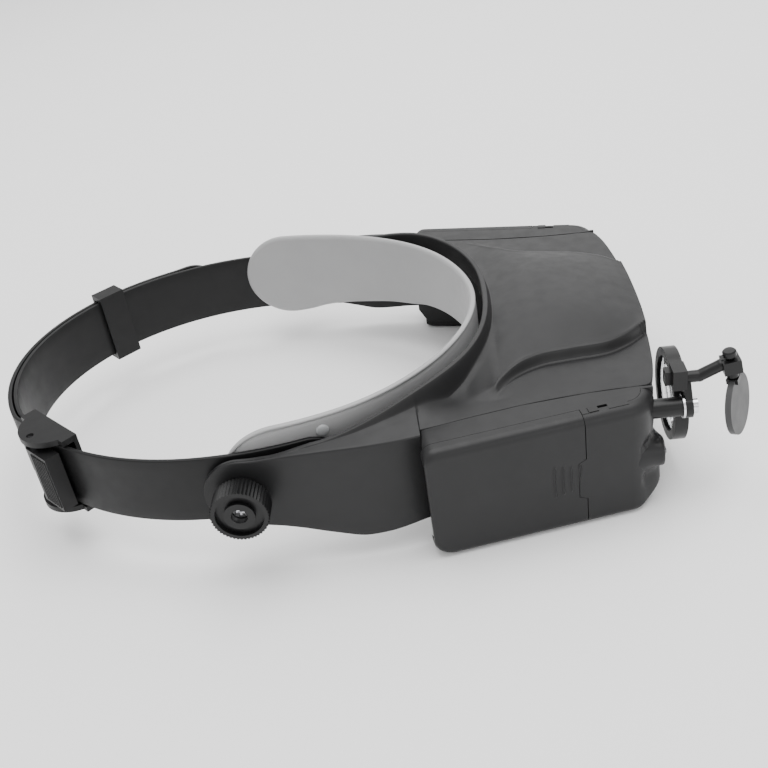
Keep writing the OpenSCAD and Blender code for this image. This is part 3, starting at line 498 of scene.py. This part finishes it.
def pad_edge(a):
    """Top and bottom of the pad at loop angle a (degrees, front is -90); the near end sits lower."""
    y = loop(a, 0)[1]
    side = ease((a + 104) / 28)
    right = interp(y, [-103, -97, -90, -82, -72, -58, -40, -24, -5],
                   [23.4, 23.0, 22.4, 21.9, 21.3, 20.9, 21.0, 21.2, 21.2])
    left = interp(y, [-103, -97, -90, -82, -60, -34, -14, 6],
                  [23.4, 24.0, 24.5, 24.7, 24.6, 24.4, 24.4, 24.4])
    low = interp(y, [-102, -92, -83, -80, -66, -58, -52, -38, -31, -25, -18, -11, 6],
                 [-4.7, -4.6, -5.6, -6.5, -8.7, -10, -10.8, -12.6, -13.9, -15.5, -16.6, -17, -17])
    return mix(right, left, side), low


def build_pad():
    angs, s = loop_len(PAD_TIP_R, PAD_TIP_L, 900)
    total = s[-1]
    tip = PAD_TIP
    stops = set(np.linspace(tip, total - tip, 130))
    for i in range(34):
        w = tip * (1 - math.cos(math.pi / 2 * i / 33))
        stops.add(w)
        stops.add(total - w)
    rings = []
    for q in sorted(stops):
        a = float(np.interp(q, s, angs))
        top, low = pad_edge(a)
        mid, half = (top + low) / 2, (top - low) / 2
        e = min(q, total - q)
        h = half
        if e < tip:
            h *= math.sqrt(max(0.0, tip ** 2 - (tip - e) ** 2)) / tip
        h = max(h, 0.06)

        def depth(z):
            """How far a point of the face is from the pad's edge."""
            d = h - abs(z)
            if e < tip:
                d = min(d, tip - math.hypot(tip - e, z * tip / half))
            return max(0.0, d)

        def inner(z):
            """The soft inner face, rolled off at the edge."""
            d = depth(z)
            return PAD_IN - 0.9 * (1 - clamp01(d / 1.6)) ** 2 - 0.15 * (1 - clamp01(d / 10)) ** 2

        def outer(z):
            """The outer face: a lip round the edge, a groove inside it, and the middle."""
            d = depth(z)
            lip = PAD_LIP + 0.5 * (1 - clamp01(d / 0.5)) ** 2
            crown = PAD_CROWN + 0.45 * (1 - clamp01((d - 1.9) / 5)) ** 2
            return mix(lip, crown, ease((d - 1.3) / 0.8)) + 0.55 * math.exp(-((d - 1.5) / 0.32) ** 2)

        rim = [mix(-h, h, 0.5 - 0.5 * math.cos(math.pi * k / (PAD_ROWS - 1))) for k in range(1, PAD_ROWS - 1)]
        sec = [(-PAD_EDGE, -h)] + [(-inner(z), z) for z in rim]
        sec += [(-PAD_EDGE, h)] + [(-outer(z), z) for z in reversed(rim)]
        rings.append([(*loop(a, d)[:2], z + mid) for d, z in sec])
    s = Shape()
    s.loft(rings)
    pad = s.done("pad_cushion", PAD, "headband", "pad_vinyl", sharp=60)
    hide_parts("forehead_pad")


def build_tab(name, a, z):
    """A moulded bump of the pad behind the end of a strap."""
    x, y, nx, ny = loop(a, -1.0)
    turns = [math.radians(t) for t in range(15, 91, 15)]
    dome = [(TAB_R * math.sin(t), TAB_H * math.cos(t)) for t in turns]
    s = Shape()
    s.loft(lathe([(0, TAB_H), *dome, (TAB_R, -0.5), (0, -0.5)], 40), caps=False)
    s.moved(mover((x, y, z), (-ny, nx, 0), (0, 0, 1), (nx, ny, 0)))
    s.done("pad_tab_" + name, TAB, "headband", "pad_vinyl")


# ---------------------------------------------------------------- sizes the hood and the pods share
TOE = math.radians(12)          # how far the pods turn in towards the front
POD = (95.5, -79.5)             # outer rear corner of the left pod, from above
POD_TOP, POD_LOW = 14.0, -34.0
POD_REAR, POD_FRONT = -79.2, -163.6
SIDE = {"right": -1, "left": 1}


# ---------------------------------------------------------------- hood with its arms
LIP_F, LIP_W, LIP_P = 107.2, 87.0, 2.4  # the lip over the pad: reach to the front, half width, squareness
ARM_IN, ARM_OUT = 86.3, 88.8    # faces of an arm at its pivot
EYE_R = 14.5                    # round end of an arm
SKIN = 2.3                      # wall of the moulding
ARM, TEMPLE, DOME = range(3)    # kinds of station along the hood, from the pivot to the front


def lip_point(phi):
    """phi 0 at the temple, 90 degrees at the front centre; the +X side."""
    c, s_ = math.cos(math.radians(phi)), math.sin(math.radians(phi))
    return LIP_W * max(0.0, c) ** (2 / LIP_P), -LIP_F * max(0.0, s_) ** (2 / LIP_P)


def lip_phi(y):
    """The lip's angle at a y."""
    return math.degrees(math.asin(min(1.0, abs(y) / LIP_F) ** (LIP_P / 2)))


def lip_phi_x(x):
    """The lip's angle at an x."""
    return math.degrees(math.acos(min(1.0, abs(x) / LIP_W) ** (LIP_P / 2)))


def crest(y):
    """Height of the raised middle along its centre line."""
    if y > -132:
        return 23.5 - 4.5 * clamp01((y + 132) / 22) ** 1.6
    return 23.5 - 0.0045 * (y + 132) ** 2


def foot(y):
    """Height of the shoulder beside the raised middle."""
    if y > -107:
        return 16.4 + 1.6 * ease((y + 107) / 12)
    return max(13.9, 16.4 + 0.0533 * (y + 107))


def crease_x(y):
    """Half width of the raised middle: a waist that flares to the temples behind."""
    return interp(-y, [96, 98, 101.4, 106.4, 110.6, 114.7, 119.6, 126.8,
                       134.7, 142.5, 150, 154, 157.5, 162, 165.5, 170],
                  [75, 73, 69.3, 63.4, 57.8, 53.5, 49.6, 45.8, 43.9, 42.4, 41, 39.5, 37.5, 34.4, 31, 26.5])


def side_edge(y):
    """Half width of the hood where it meets a pod."""
    return interp(-y, [79, 86, 95, 105, 116, 128, 140, 150, 158, 170],
                  [79.5, 77.9, 75.4, 73, 70.6, 68.6, 67.2, 66.4, 66.2, 66.2])


STEP_W = 1.9                    # width of the steep step, and what it softens to behind
STEP_SOFT = 9.0


def hood_top(x, y, edge_x):
    """Height of the hood's top: a low dome, a steep step down from it, and a flat shoulder to the pod."""
    x = abs(x)
    c = crease_x(y)
    if y > -122:
        c = mix(c, min(c, edge_x - 5), ease((y + 122) / 14))
    over = foot(y) + 3.3 * ease((-101 - y) / 19)
    middle = mix(crest(y), over, min(1.0, x / c) ** 2.4)
    side = mix(foot(y), POD_TOP, ease((x - c) / max(4.0, edge_x - c)))
    soft = mix(STEP_SOFT, STEP_W, ease((-99 - y) / 9))
    low = mix(middle, side, ease((x - c) / soft + 0.5))
    # a shallow gutter at the foot of the step and a rolled edge at its head
    k = ease((-100 - y) / 8)
    low -= 0.30 * k * math.exp(-((x - c - 1.9) / 0.9) ** 2)
    low += 0.16 * k * math.exp(-((x - c + 2.0) / 1.0) ** 2)
    # behind, the step dies out into one smooth fall from the lip to the pod
    behind = mix(crest(y), POD_TOP, ease((x - 34) / (edge_x - 34)))
    return mix(low, behind, ease((y + 110) / 14))


def lip_top(y):
    """Height of the lip's upper edge."""
    return 24.3 - 7.6 * ease((y + 90) / 50) - 0.13 * max(0.0, y + 40)


def arm_low(y):
    """Height of an arm's lower edge."""
    return interp(y, [-90, POD_REAR, -74, -63, -54, -45, -31, PIVOT_Y],
                  [-23.2, -23.2, -23.6, -24.6, -24.4, -21.8, -17.6, -EYE_R])


def arm_top(y):
    """Height of an arm's upper edge on its outer face."""
    return interp(y, [POD_REAR, -76, -68, -56, -40, -31, -24, -18, PIVOT_Y],
                  [14.4, 14.6, 15.4, 16.0, 16.0, 15.5, 14.7, 14.3, EYE_R])


def lip_side(y):
    """Height of the hood beside the lip, inside the pods and the arms."""
    return interp(y, [-84, -76, -68, -56, -40, -31, -24, -18, PIVOT_Y],
                  [19.2, 19.0, 18.6, 17.4, 16.2, 15.2, 14.6, 14.3, EYE_R])


def stations():
    """Half of the hood on +X: rows of lip x, lip y, edge x, edge y, and the kind of station."""
    rows = []
    for i in range(26):
        y = PIVOT_Y + EYE_R * math.cos(math.pi / 2 * i / 25)
        rows.append((ARM_IN, y, ARM_OUT, y, ARM))
    arm = catmull([[ARM_IN, PIVOT_Y, ARM_OUT, PIVOT_Y], [86.0, -18, ARM_OUT, -18],
                   [lip_point(lip_phi(-24))[0], -24, 89.0, -24]], 4)
    for r in arm[1:]:
        rows.append((*r, ARM))
    temple = catmull([[lip_phi(-24), 89, -24], [lip_phi(-31), 89.4, -31], [lip_phi(-40), 89.6, -40],
                      [lip_phi(-56), 89, -56], [lip_phi(-68), 87.2, -68], [lip_phi(-76), 84.6, -76.6],
                      [lip_phi(-77.6), 83.7, POD_REAR]], 9)
    for p, ex, ey in temple[1:]:
        rows.append((*lip_point(p), ex, ey, TEMPLE))
    edge_keys = [[-78.3, 79.5, POD_REAR], [-82.6, 77.9, -86], [-87.5, 75.4, -95], [-92.4, 73, -105],
                 [-96.2, 70.6, -116], [-99, 68.6, -128], [-101.4, 67.2, -140],
                 [-103, 66.4, -150], [-104, 66.2, -158]]
    keys = [[lip_phi(e[0]), e[1], e[2]] for e in edge_keys]
    keys += [[lip_phi_x(x), ex, ey] for x, ex, ey in
             [(27.5, 65.2, -163.0), (24.6, 60.6, -164.9), (22, 54, -166.4), (17, 42, -168), (11, 28, -169.2),
              (5.5, 14, -170), (0, 0, -170.2)]]
    for p, ex, ey in catmull(keys, 9):
        rows.append((*lip_point(min(90, p)), max(0.0, ex), ey, DOME))
    return rows


LAST_CROSS = 0.97               # where a station that never crosses the crease is taken to cross it


def crossing(row):
    """How far from lip to edge, 0…1, a station crosses the crease."""
    lx, ly, ex, ey = row[:4]
    for t in np.linspace(0.1, LAST_CROSS, 120):
        if abs(mix(lx, ex, float(t))) > crease_x(mix(ly, ey, float(t))):
            return float(t)
    return LAST_CROSS


def smoothed(values):
    """A running mean with the ends repeated."""
    window = 11
    return np.convolve(np.pad(values, window // 2, mode="edge"), np.full(window, 1 / window), "valid")


def section(row, cross):
    """Closed outline of the moulding at a station, from the lip over the top to the edge and back inside."""
    lx, ly, ex, ey, kind = row
    lip = Vector((lx, ly))
    edge = Vector((ex, ey))
    run = edge - lip
    length = run.length
    d = run / length
    if kind == ARM:
        ahead = ey < PIVOT_Y
        z_in = z_out = lip_z = arm_top(ey) if ahead else math.sqrt(max(0.0, EYE_R ** 2 - (ey - PIVOT_Y) ** 2))
        low_out = arm_low(ey) if ahead else -z_out
    elif kind == TEMPLE:
        z_in, z_out = lip_side(ly), arm_top(ey)
        low_out = arm_low(ey)
        lip_z = max(lip_top(ly), z_in)
    else:
        z_in, z_out, lip_z = lip_side(ly), POD_TOP, lip_top(ly)
    flat = 1 - ease((POD_REAR - ey) / 20) if kind == DOME else 1.0
    edge_at = max(ex, side_edge(ey)) if ex > 58 else side_edge(-165)

    def bare(u):
        """Height of the top without the lip."""
        p = lip + d * u
        v = clamp01(u / length)
        h = hood_top(p.x, p.y, edge_at) if flat < 1 else 0.0
        return mix(h, mix(z_in, z_out, v), flat)

    if kind == DOME:
        low_out = mix(bare(length) - 2.6, 8.6, ease((-165.5 - ey) / 1.2))
    rim = min(2.0, length * 0.42)
    high = max(0.0, lip_z - bare(rim))
    fall = 0.5 + 0.22 * high

    def top(u):
        """Height of the top with the lip, its wall and the fillet at its foot."""
        b = bare(u)
        if u <= rim:
            return mix(b, max(lip_z, b), ease(high / 0.4))
        wall = max(0.0, lip_z - b) * (1 - ease((u - rim) / fall))
        toe = 0.35 * min(1.0, high / 3) * (1 - clamp01((u - rim - fall) / 3.0)) ** 2 * ease((u - rim) / fall)
        return b + wall * ease(high / 0.4) + toe

    tall = top(length) - low_out
    r_in = min(0.7, length * 0.2, tall * 0.4)
    r_out = min(0.35 if kind == DOME else 0.9, length * 0.2, tall * 0.4)
    t_w = min(SKIN, length * 0.4 if kind == DOME else length - 0.05)
    t_i = max(0.08, min(2.1, length - t_w - 0.02))

    def under(u):
        """Height of the inside, one wall below the top."""
        return min(bare(u), top(u)) - SKIN

    low_in = mix(low_out, top(0), 0.3) if kind == ARM else min(top(0) - 2 * r_in, under(t_i) - 0.4)
    a = top(0) - r_in
    pts = [(0, mix(low_in, a, i / 6)) for i in range(6)]
    for i in range(5):
        w = math.radians(90 * i / 4)
        pts.append((r_in * (1 - math.cos(w)), a + r_in * math.sin(w)))
    # the top, with the most points beside the lip and across the crease
    far = length - r_out
    near = min(far, rim + fall + 0.5)
    mid_u = cross * length if kind == DOME else near + 0.5
    lo_u = min(max(mid_u - 2.6, near + 0.2), far - 0.6)
    hi_u = min(max(mid_u + 3.4, lo_u + 0.2), far - 0.2)
    us = [mix(r_in, rim, i / 7) for i in range(1, 8)]
    us += [mix(rim, near, (i / 16) ** 1.6) for i in range(1, 17)]
    for u0, u1, n in ((near, lo_u, 24), (lo_u, hi_u, 26), (hi_u, far, 18)):
        us += [mix(u0, u1, i / n) for i in range(1, n + 1)]
    pts += [(u, top(u)) for u in us]
    b = top(length - r_out) - r_out
    for i in range(1, 6):
        w = math.radians(90 - 90 * i / 5)
        pts.append((length - r_out + r_out * math.cos(w), b + r_out * math.sin(w)))
    r_b = min(0.2 if kind == DOME else 0.6, tall * 0.2, length * 0.2)
    pts += [(length, mix(b, low_out + r_b, i / 8)) for i in range(1, 9)]
    for i in range(1, 4):
        w = math.radians(-90 * i / 3)
        pts.append((length - r_b + r_b * math.cos(w), low_out + r_b + r_b * math.sin(w)))
    inside = length - t_w
    pts.append((inside, low_out))
    zu = under(inside)
    pts += [(inside, mix(low_out, max(zu, low_out + 0.01), i / 6)) for i in range(1, 7)]
    lowest = min(low_in, low_out) if kind == ARM else -math.inf
    for i in range(1, 31):
        u = mix(inside, t_i, i / 30)
        pts.append((u, max(under(u), lowest)))
    pts.append((t_i, low_in))
    return [(lip.x + d.x * u, lip.y + d.y * u, z) for u, z in pts]


def cheek_x(y, depth):
    """The x of a plane that lies depth inside the left pod's outer face."""
    return POD[0] - depth / math.cos(TOE) + math.tan(TOE) * (y - POD[1])


CHEEK_TOP, CHEEK_LOW, CHEEK_REAR, CHEEK_FRONT = 11.2, -30, -76.6, -163
CHEEK_DEPTH, CHEEK_T = 18.8, 2


def build_hood():
    half = stations()
    flip = [(-lx, ly, -ex, ey, kind) for lx, ly, ex, ey, kind in reversed(half[:-1])]
    cross = smoothed([crossing(r) if r[4] == DOME else LAST_CROSS for r in half])
    cross = np.concatenate([cross, cross[:-1][::-1]])
    rings = [section(r, float(c)) for r, c in zip(half + flip, cross)]
    s = Shape()
    s.loft(rings)
    hood = s.done("hood_moulding", HOOD, "hood", "hood_plastic", sharp=38)
    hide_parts("visor_shell")


def build_cheek(name, side):
    """The flat inner wall of a pod, carried by the hood."""
    out = rounded([(CHEEK_REAR, -23.4), (-80.5, CHEEK_LOW), (CHEEK_FRONT, CHEEK_LOW),
                   (CHEEK_FRONT, CHEEK_TOP), (CHEEK_REAR, CHEEK_TOP)], [1, 3, 3, 2, 1])
    s = Shape()
    plate(s, out, 0, CHEEK_T, 0.5)
    s.moved(lambda q: (side * cheek_x(q[0], CHEEK_DEPTH - q[2] * 0.98), q[0], q[1]))
    ob = s.done("hood_cheek_" + name, HOOD, "hood", "hood_plastic")
    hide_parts("side_arm_" + name)


# ---------------------------------------------------------------- battery doors and pod noses
def pod_frame(side):
    """Maps (along the pod's outer face, outwards, up) to the drawing."""
    c, s_ = math.cos(TOE), math.sin(TOE)

    def place(q):
        x = POD[0] - s_ * q[0] + c * q[1]
        y = POD[1] - c * q[0] - s_ * q[1]
        return side * x, y, q[2]

    return place


def corner_drop(x, r):
    """How far a corner of radius r falls away at x from its end."""
    return r - math.sqrt(max(0.0, r ** 2 - (r - x) ** 2)) if x < r else 0.0


def notch(z):
    """0…1: how far the shallow notch in a door's front edge is open at a height."""
    return ease((z + 22.0) / 1.8) - ease((z + 5.4) / 2.0)


GRIP_Z, GRIP_X, GRIP_STEP = -11, 46.2, 3.15  # middle height, first place and spacing of the grip ridges
NOTCH_DEPTH = 3.0


def build_door(name, side):
    """A battery door, drawn along the pod from its rear end."""
    r_top, r_low, flange, thick = 3.6, 3.0, 6.0, 2.0    # edge radii, depth of the flanges, wall
    r_rear_top, r_rear_low, r_rear = 5, 8, 1.9          # roundings of the rear end

    def outline(x):
        """Cross-section (out, up) at x along the pod, outer line then inner line."""
        top = POD_TOP - corner_drop(x, r_rear_top)
        low = POD_LOW + corner_drop(x, r_rear_low)
        back = 0.0 if x > r_rear else 1.5 * (1 - math.sqrt(max(0.0, 1 - (1 - x / r_rear) ** 2)))
        line = [(-flange, top)]
        for i in range(9):
            t = math.radians(90 - 90 * i / 8)
            line.append((-back - r_top + r_top * math.cos(t), top - r_top + r_top * math.sin(t)))
        line += [(-back, mix(top - r_top, low + r_low, i / 120)) for i in range(1, 120)]
        for i in range(9):
            t = math.radians(-90 * i / 8)
            line.append((-back - r_low + r_low * math.cos(t), low + r_low + r_low * math.sin(t)))
        line.append((-flange, low))
        inner = [(-flange, low + thick), (-back - thick - 1, low + thick), (-back - thick, low + thick + 1),
                 (-back - thick, top - thick - 1.6), (-back - thick - 1.6, top - thick),
                 (-flange, top - thick)]
        return line, inner

    def lifted(x, out, z):
        """The outer face with its four bowed grip ridges, each with a shallow groove ahead of it."""
        g = 0.0
        off = z - GRIP_Z
        if out > -0.8 and abs(off) < 8.5:
            for k in range(4):
                xc = GRIP_X + GRIP_STEP * k + 3.0 - 3.0 * math.sqrt(max(0.0, 1 - (off / 13.0) ** 2)) * 0.9
                fade = ease((7.6 - 0.7 * k - abs(off)) / 1.4)
                g = max(g, 0.55 * math.exp(-((x - xc) / 0.42) ** 2) * fade)
                g -= 0.16 * math.exp(-((x - xc - 1.0) / 0.5) ** 2) * fade
        return out + g

    xs = [0.42 + 1.9 * (1 - math.cos(math.pi / 2 * i / 6)) for i in range(7)]
    xs += list(np.linspace(2.9, 8.4, 8)) + list(np.linspace(10.5, 44, 12)) + list(np.linspace(44.6, 58.3, 62))
    xs += [58.5, 58.62, 58.7]
    rings = []
    for x in xs:
        line, inner = outline(x)
        cut = 0.12 if x > 58.65 else 0.0

        def back(z):
            """Place along the pod, drawn back where the notch is."""
            return x - NOTCH_DEPTH * notch(z) * clamp01((x - 53.4) / 5.0)

        outer = [(back(z), lifted(back(z), o, z) - cut, z) for o, z in line]
        rings.append(outer + [(back(z), o, z) for o, z in inner])
    s = Shape()
    s.loft(rings)
    s.moved(pod_frame(side))
    ob = s.done("door_cover_" + name, HOOD, "door_" + name, "hood_plastic", sharp=40)
    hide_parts("battery_door_" + name)


def build_tongue(name, side):
    """The part of the pod that fills the notch of its door."""
    s = Shape()
    rings = []
    for z in np.linspace(-21.7, -3.7, 46):
        x0 = 58.95 - NOTCH_DEPTH * notch(z)
        rings.append([(x0, -0.12, z), (x0 + 0.12, 0.0, z), (59.6, 0.0, z), (59.6, -1.9, z), (x0, -1.9, z)])
    s.loft(rings)
    s.moved(pod_frame(side))
    s.done("door_tongue_" + name, HOOD, "hood", "hood_plastic", sharp=40)


NOSE_R = 12.0                   # front corner of a pod, from above
NOSE_MID = (cheek_x(POD_FRONT + NOSE_R, NOSE_R), POD_FRONT + NOSE_R)
NOSE_TOP_R, NOSE_LOW_R = 4.5, 3  # its upper and lower edges
NOSE_IN_R = 7.42                # inner side of the band that is drawn
FLANK, FLANK_SINK = 13.5, 0.09  # the straight stretch behind the corner sinks into the pod body
LAMP_X, LAMP_Z = 71.6, -12.0


def build_nose(name, side):
    """The rounded front corner of a pod, as a closed band over the pod body."""
    rings = []
    levels = [POD_TOP - 0.03 - NOSE_TOP_R * (1 - math.cos(math.pi / 2 * i / 12)) for i in range(13)]
    levels += list(np.linspace(9.3, -21.5, 62))
    levels += [POD_LOW + 12.5 * (1 - math.sin(math.pi / 2 * i / 22)) for i in range(23)]
    a0, a1 = math.degrees(-TOE), -90.0
    for z in levels:
        inset = corner_drop(POD_TOP - z, NOSE_TOP_R) + corner_drop(z - POD_LOW, NOSE_LOW_R)
        # the chin: no point of the rounded underside may lie ahead of this
        chin = -math.inf
        if z < POD_LOW + NOSE_R:
            chin = POD_FRONT + corner_drop(z - POD_LOW, NOSE_R) - 0.03
        r = NOSE_R + 0.05 - inset
        outer = []
        # straight flank from the door side to the corner
        fx, fy = NOSE_MID[0] + r * math.cos(TOE), NOSE_MID[1] - r * math.sin(TOE)
        for i in range(8):
            d, sink = mix(FLANK, 0, i / 8), mix(FLANK_SINK, 0, i / 8)
            outer.append((fx + d * math.sin(TOE) - sink, fy + d * math.cos(TOE),
                          math.cos(TOE), -math.sin(TOE)))
        for i in range(49):
            t = math.radians(mix(a0, a1, i / 48))
            outer.append((NOSE_MID[0] + r * math.cos(t), NOSE_MID[1] + r * math.sin(t),
                          math.cos(t), math.sin(t)))
        ring = []
        for k, (x, y, nx, ny) in enumerate(outer):
            # scoops above and below the lamp horn, and the swell round it
            q = max(0, k - 8) / 48
            up = math.exp(-(((z - (-1.5 - 7.5 * (1 - q))) / 3.4) ** 2)) * ease((q - 0.12) / 0.3)
            low = math.exp(-(((z + 20.0) / 3.2) ** 2)) * ease((q - 0.18) / 0.22) * ease((1.02 - q) / 0.3)
            horn = math.exp(-(((z - LAMP_Z) / 5.4) ** 4)) * ease((q - 0.1) / 0.55)
            d = -1.15 * up - 1.15 * low + 2.3 * horn * ease((q - 0.2) / 0.5)
            x, y = x + nx * d, y + ny * d
            if y < chin and horn <= 0.2:
                y = chin
            lean = 2.6 * ease((6 - z) / 26) * ease((q - 0.35) / 0.5)
            ring.append((side * x, y - lean, z))
        back = []
        for i in range(25):
            t = math.radians(mix(a1, a0, i / 24))
            back.append((NOSE_MID[0] + NOSE_IN_R * math.cos(t), NOSE_MID[1] + NOSE_IN_R * math.sin(t)))
        fx, fy = back[-1]
        back.append((fx + FLANK * math.sin(TOE), fy + FLANK * math.cos(TOE)))
        for x, y in back:
            ring.append((side * x, max(y, chin + 0.3), z))
        rings.append(ring)
    s = Shape()
    s.loft(rings)
    s.done("pod_nose_" + name, HOOD, "hood", "hood_plastic", sharp=44)


def build_horn(name, side):
    """The round horn that the lamp looks out of."""
    prof = [(4.1, -9.0), (7.6, -8.6), (7.2, -5.5), (6.5, -3.4), (5.95, -1.6), (5.6, 0.0), (5.5, 1.4),
            (5.42, 2.2), (5.2, 2.68), (4.85, 2.86), (4.4, 2.8), (4.16, 2.5), (4.12, 1.0)]
    s = Shape()
    s.loft(lathe(prof, 72), caps=False)
    s.moved(mover((side * LAMP_X, POD_FRONT, LAMP_Z), (1, 0, 0), (0, 0, 1), (0, -1, 0)))
    s.done("lamp_horn_" + name, HOOD, "hood", "hood_plastic", sharp=50)


build_strap("right", 180 + TONGUE, 13, lift_right, 150, True)
build_strap("left", -TONGUE, 141, lift_left, 130, False)
build_pad()
build_tab("right", -180 + TAB_ANGLE, 14.6)
build_tab("left", -TAB_ANGLE, 15.5)
build_hood()
for cheek_name in ("left", "right"):
    build_cheek(cheek_name, SIDE[cheek_name])
for pod_name, pod_side in SIDE.items():
    build_door(pod_name, pod_side)
    build_tongue(pod_name, pod_side)
    build_nose(pod_name, pod_side)
    build_horn(pod_name, pod_side)


# ---------------------------------------------------------------- materials of the carried-over nodes
LOOKS = {
    HOOD: ["front_bezel", "pod_body_right", "pod_body_left", "visor_shell", "side_arm_right", "side_arm_left",
           "battery_door_right", "battery_door_left"],
    STRAP: ["strap_right", "strap_left", "keeper_loop", "buckle_body", "buckle_cam"],
    BLACK: ["knob_right", "knob_left", "pivot_washer_right", "pivot_washer_left",
            "pad_stud_right", "pad_stud_left", "aux_lens_frame", "led_holder_right", "led_holder_left",
            "switch_slider_right", "switch_slider_left", "loupe_shaft", "loupe_lever", "loupe_clamp",
            "loupe_ring", "loupe_tube", "tube_clamp", "clamp_thumbscrew", "small_lens_stem"],
    STEEL: ["pivot_screw_right", "pivot_screw_left", "pivot_nut_right", "pivot_nut_left", "buckle_pin",
            "pod_screws_right", "pod_screws_left", "switch_body_right", "switch_body_left",
            "battery_contacts_right", "battery_contacts_left", "loupe_washer", "loupe_screw"],
    CLEAR: ["main_lens", "aux_lens", "loupe_lens"],
    LED: ["led_right", "led_left"],
    GREY_LENS: ["small_lens"],
    PAD: ["forehead_pad"],
    CELL: ["battery_cells_right", "battery_cells_left"],
}
for look, names in LOOKS.items():
    for name in names:
        mats = NODES[name].data.materials
        if len(mats) == 0:
            mats.append(look)
        for i in range(len(mats)):
            mats[i] = look


# ---------------------------------------------------------------- floor, light and camera
def build_stage():
    """A pale floor just under the object and an even white surround."""
    m, nt, links = node_tree("floor_white")
    s = nt["Principled BSDF"]
    vary(nt, links, s, (0.96, 0.96, 0.96), 0.004, 3, 0.7, 0.04, 12)
    s.inputs["Specular IOR Level"].default_value = 0.2
    bm = bmesh.new()
    bmesh.ops.create_grid(bm, x_segments=8, y_segments=8, size=6)
    mesh = bpy.data.meshes.new("floor")
    bm.to_mesh(mesh)
    bm.free()
    mesh.materials.append(m)
    ob = bpy.data.objects.new("floor", mesh)
    ob.location = (0, 0, cad_lo.z - 0.0004)
    SCENE.collection.objects.link(ob)
    world = bpy.data.worlds.new("studio")
    world.use_nodes = True
    bg = world.node_tree.nodes["Background"]
    bg.inputs["Color"].default_value = (1, 1, 1, 1)
    bg.inputs["Strength"].default_value = 1.0
    SCENE.world = world


def area(name, where, target, size, size_y, power):
    """A white softbox that looks at target."""
    light = bpy.data.lights.new(name, "AREA")
    light.shape = "RECTANGLE"
    light.size, light.size_y = size, size_y
    light.energy = power
    ob = bpy.data.objects.new(name, light)
    ob.location = where
    ob.rotation_mode = "QUATERNION"
    ob.rotation_quaternion = (Vector(target) - Vector(where)).to_track_quat("-Z", "Y")
    SCENE.collection.objects.link(ob)


def build_lights():
    area("softbox_top", (0.1, -0.1, 1.6), (0, 0, 0), 1.6, 1.6, 33)
    area("softbox_far", (1.15, -0.15, 0.8), (0, -0.1, 0.03), 1.2, 0.8, 3.5)
    area("softbox_near", (-1.0, -0.7, 0.5), (0, -0.1, 0.02), 0.7, 0.5, 2)


CAMERA_AT = (-372.5, -99.5, 222.7)
SENSOR, FOCAL = 36, 47.27095    # width of the sensor and focal length, mm


def build_camera():
    """The photo's view: from the wearer's right and above, rolled a little."""
    az, el, roll = math.radians(-84.076), math.radians(32.509), math.radians(9.346)
    back = Vector((math.sin(az) * math.cos(el), -math.cos(az) * math.cos(el), math.sin(el)))
    right = (-back).cross(Vector((0, 0, 1))).normalized()
    up = right.cross(-back)
    r2 = right * math.cos(roll) - up * math.sin(roll)
    u2 = right * math.sin(roll) + up * math.cos(roll)
    data = bpy.data.cameras.new("camera")
    data.sensor_width = SENSOR
    data.lens = FOCAL
    data.clip_start, data.clip_end = 0.01, 50
    ob = bpy.data.objects.new("camera", data)
    rot = Matrix((r2, u2, back)).transposed()
    ob.matrix_world = Matrix.Translation(at(CAMERA_AT)) @ rot.to_4x4()
    SCENE.collection.objects.link(ob)
    SCENE.camera = ob


build_stage()
build_lights()
build_camera()
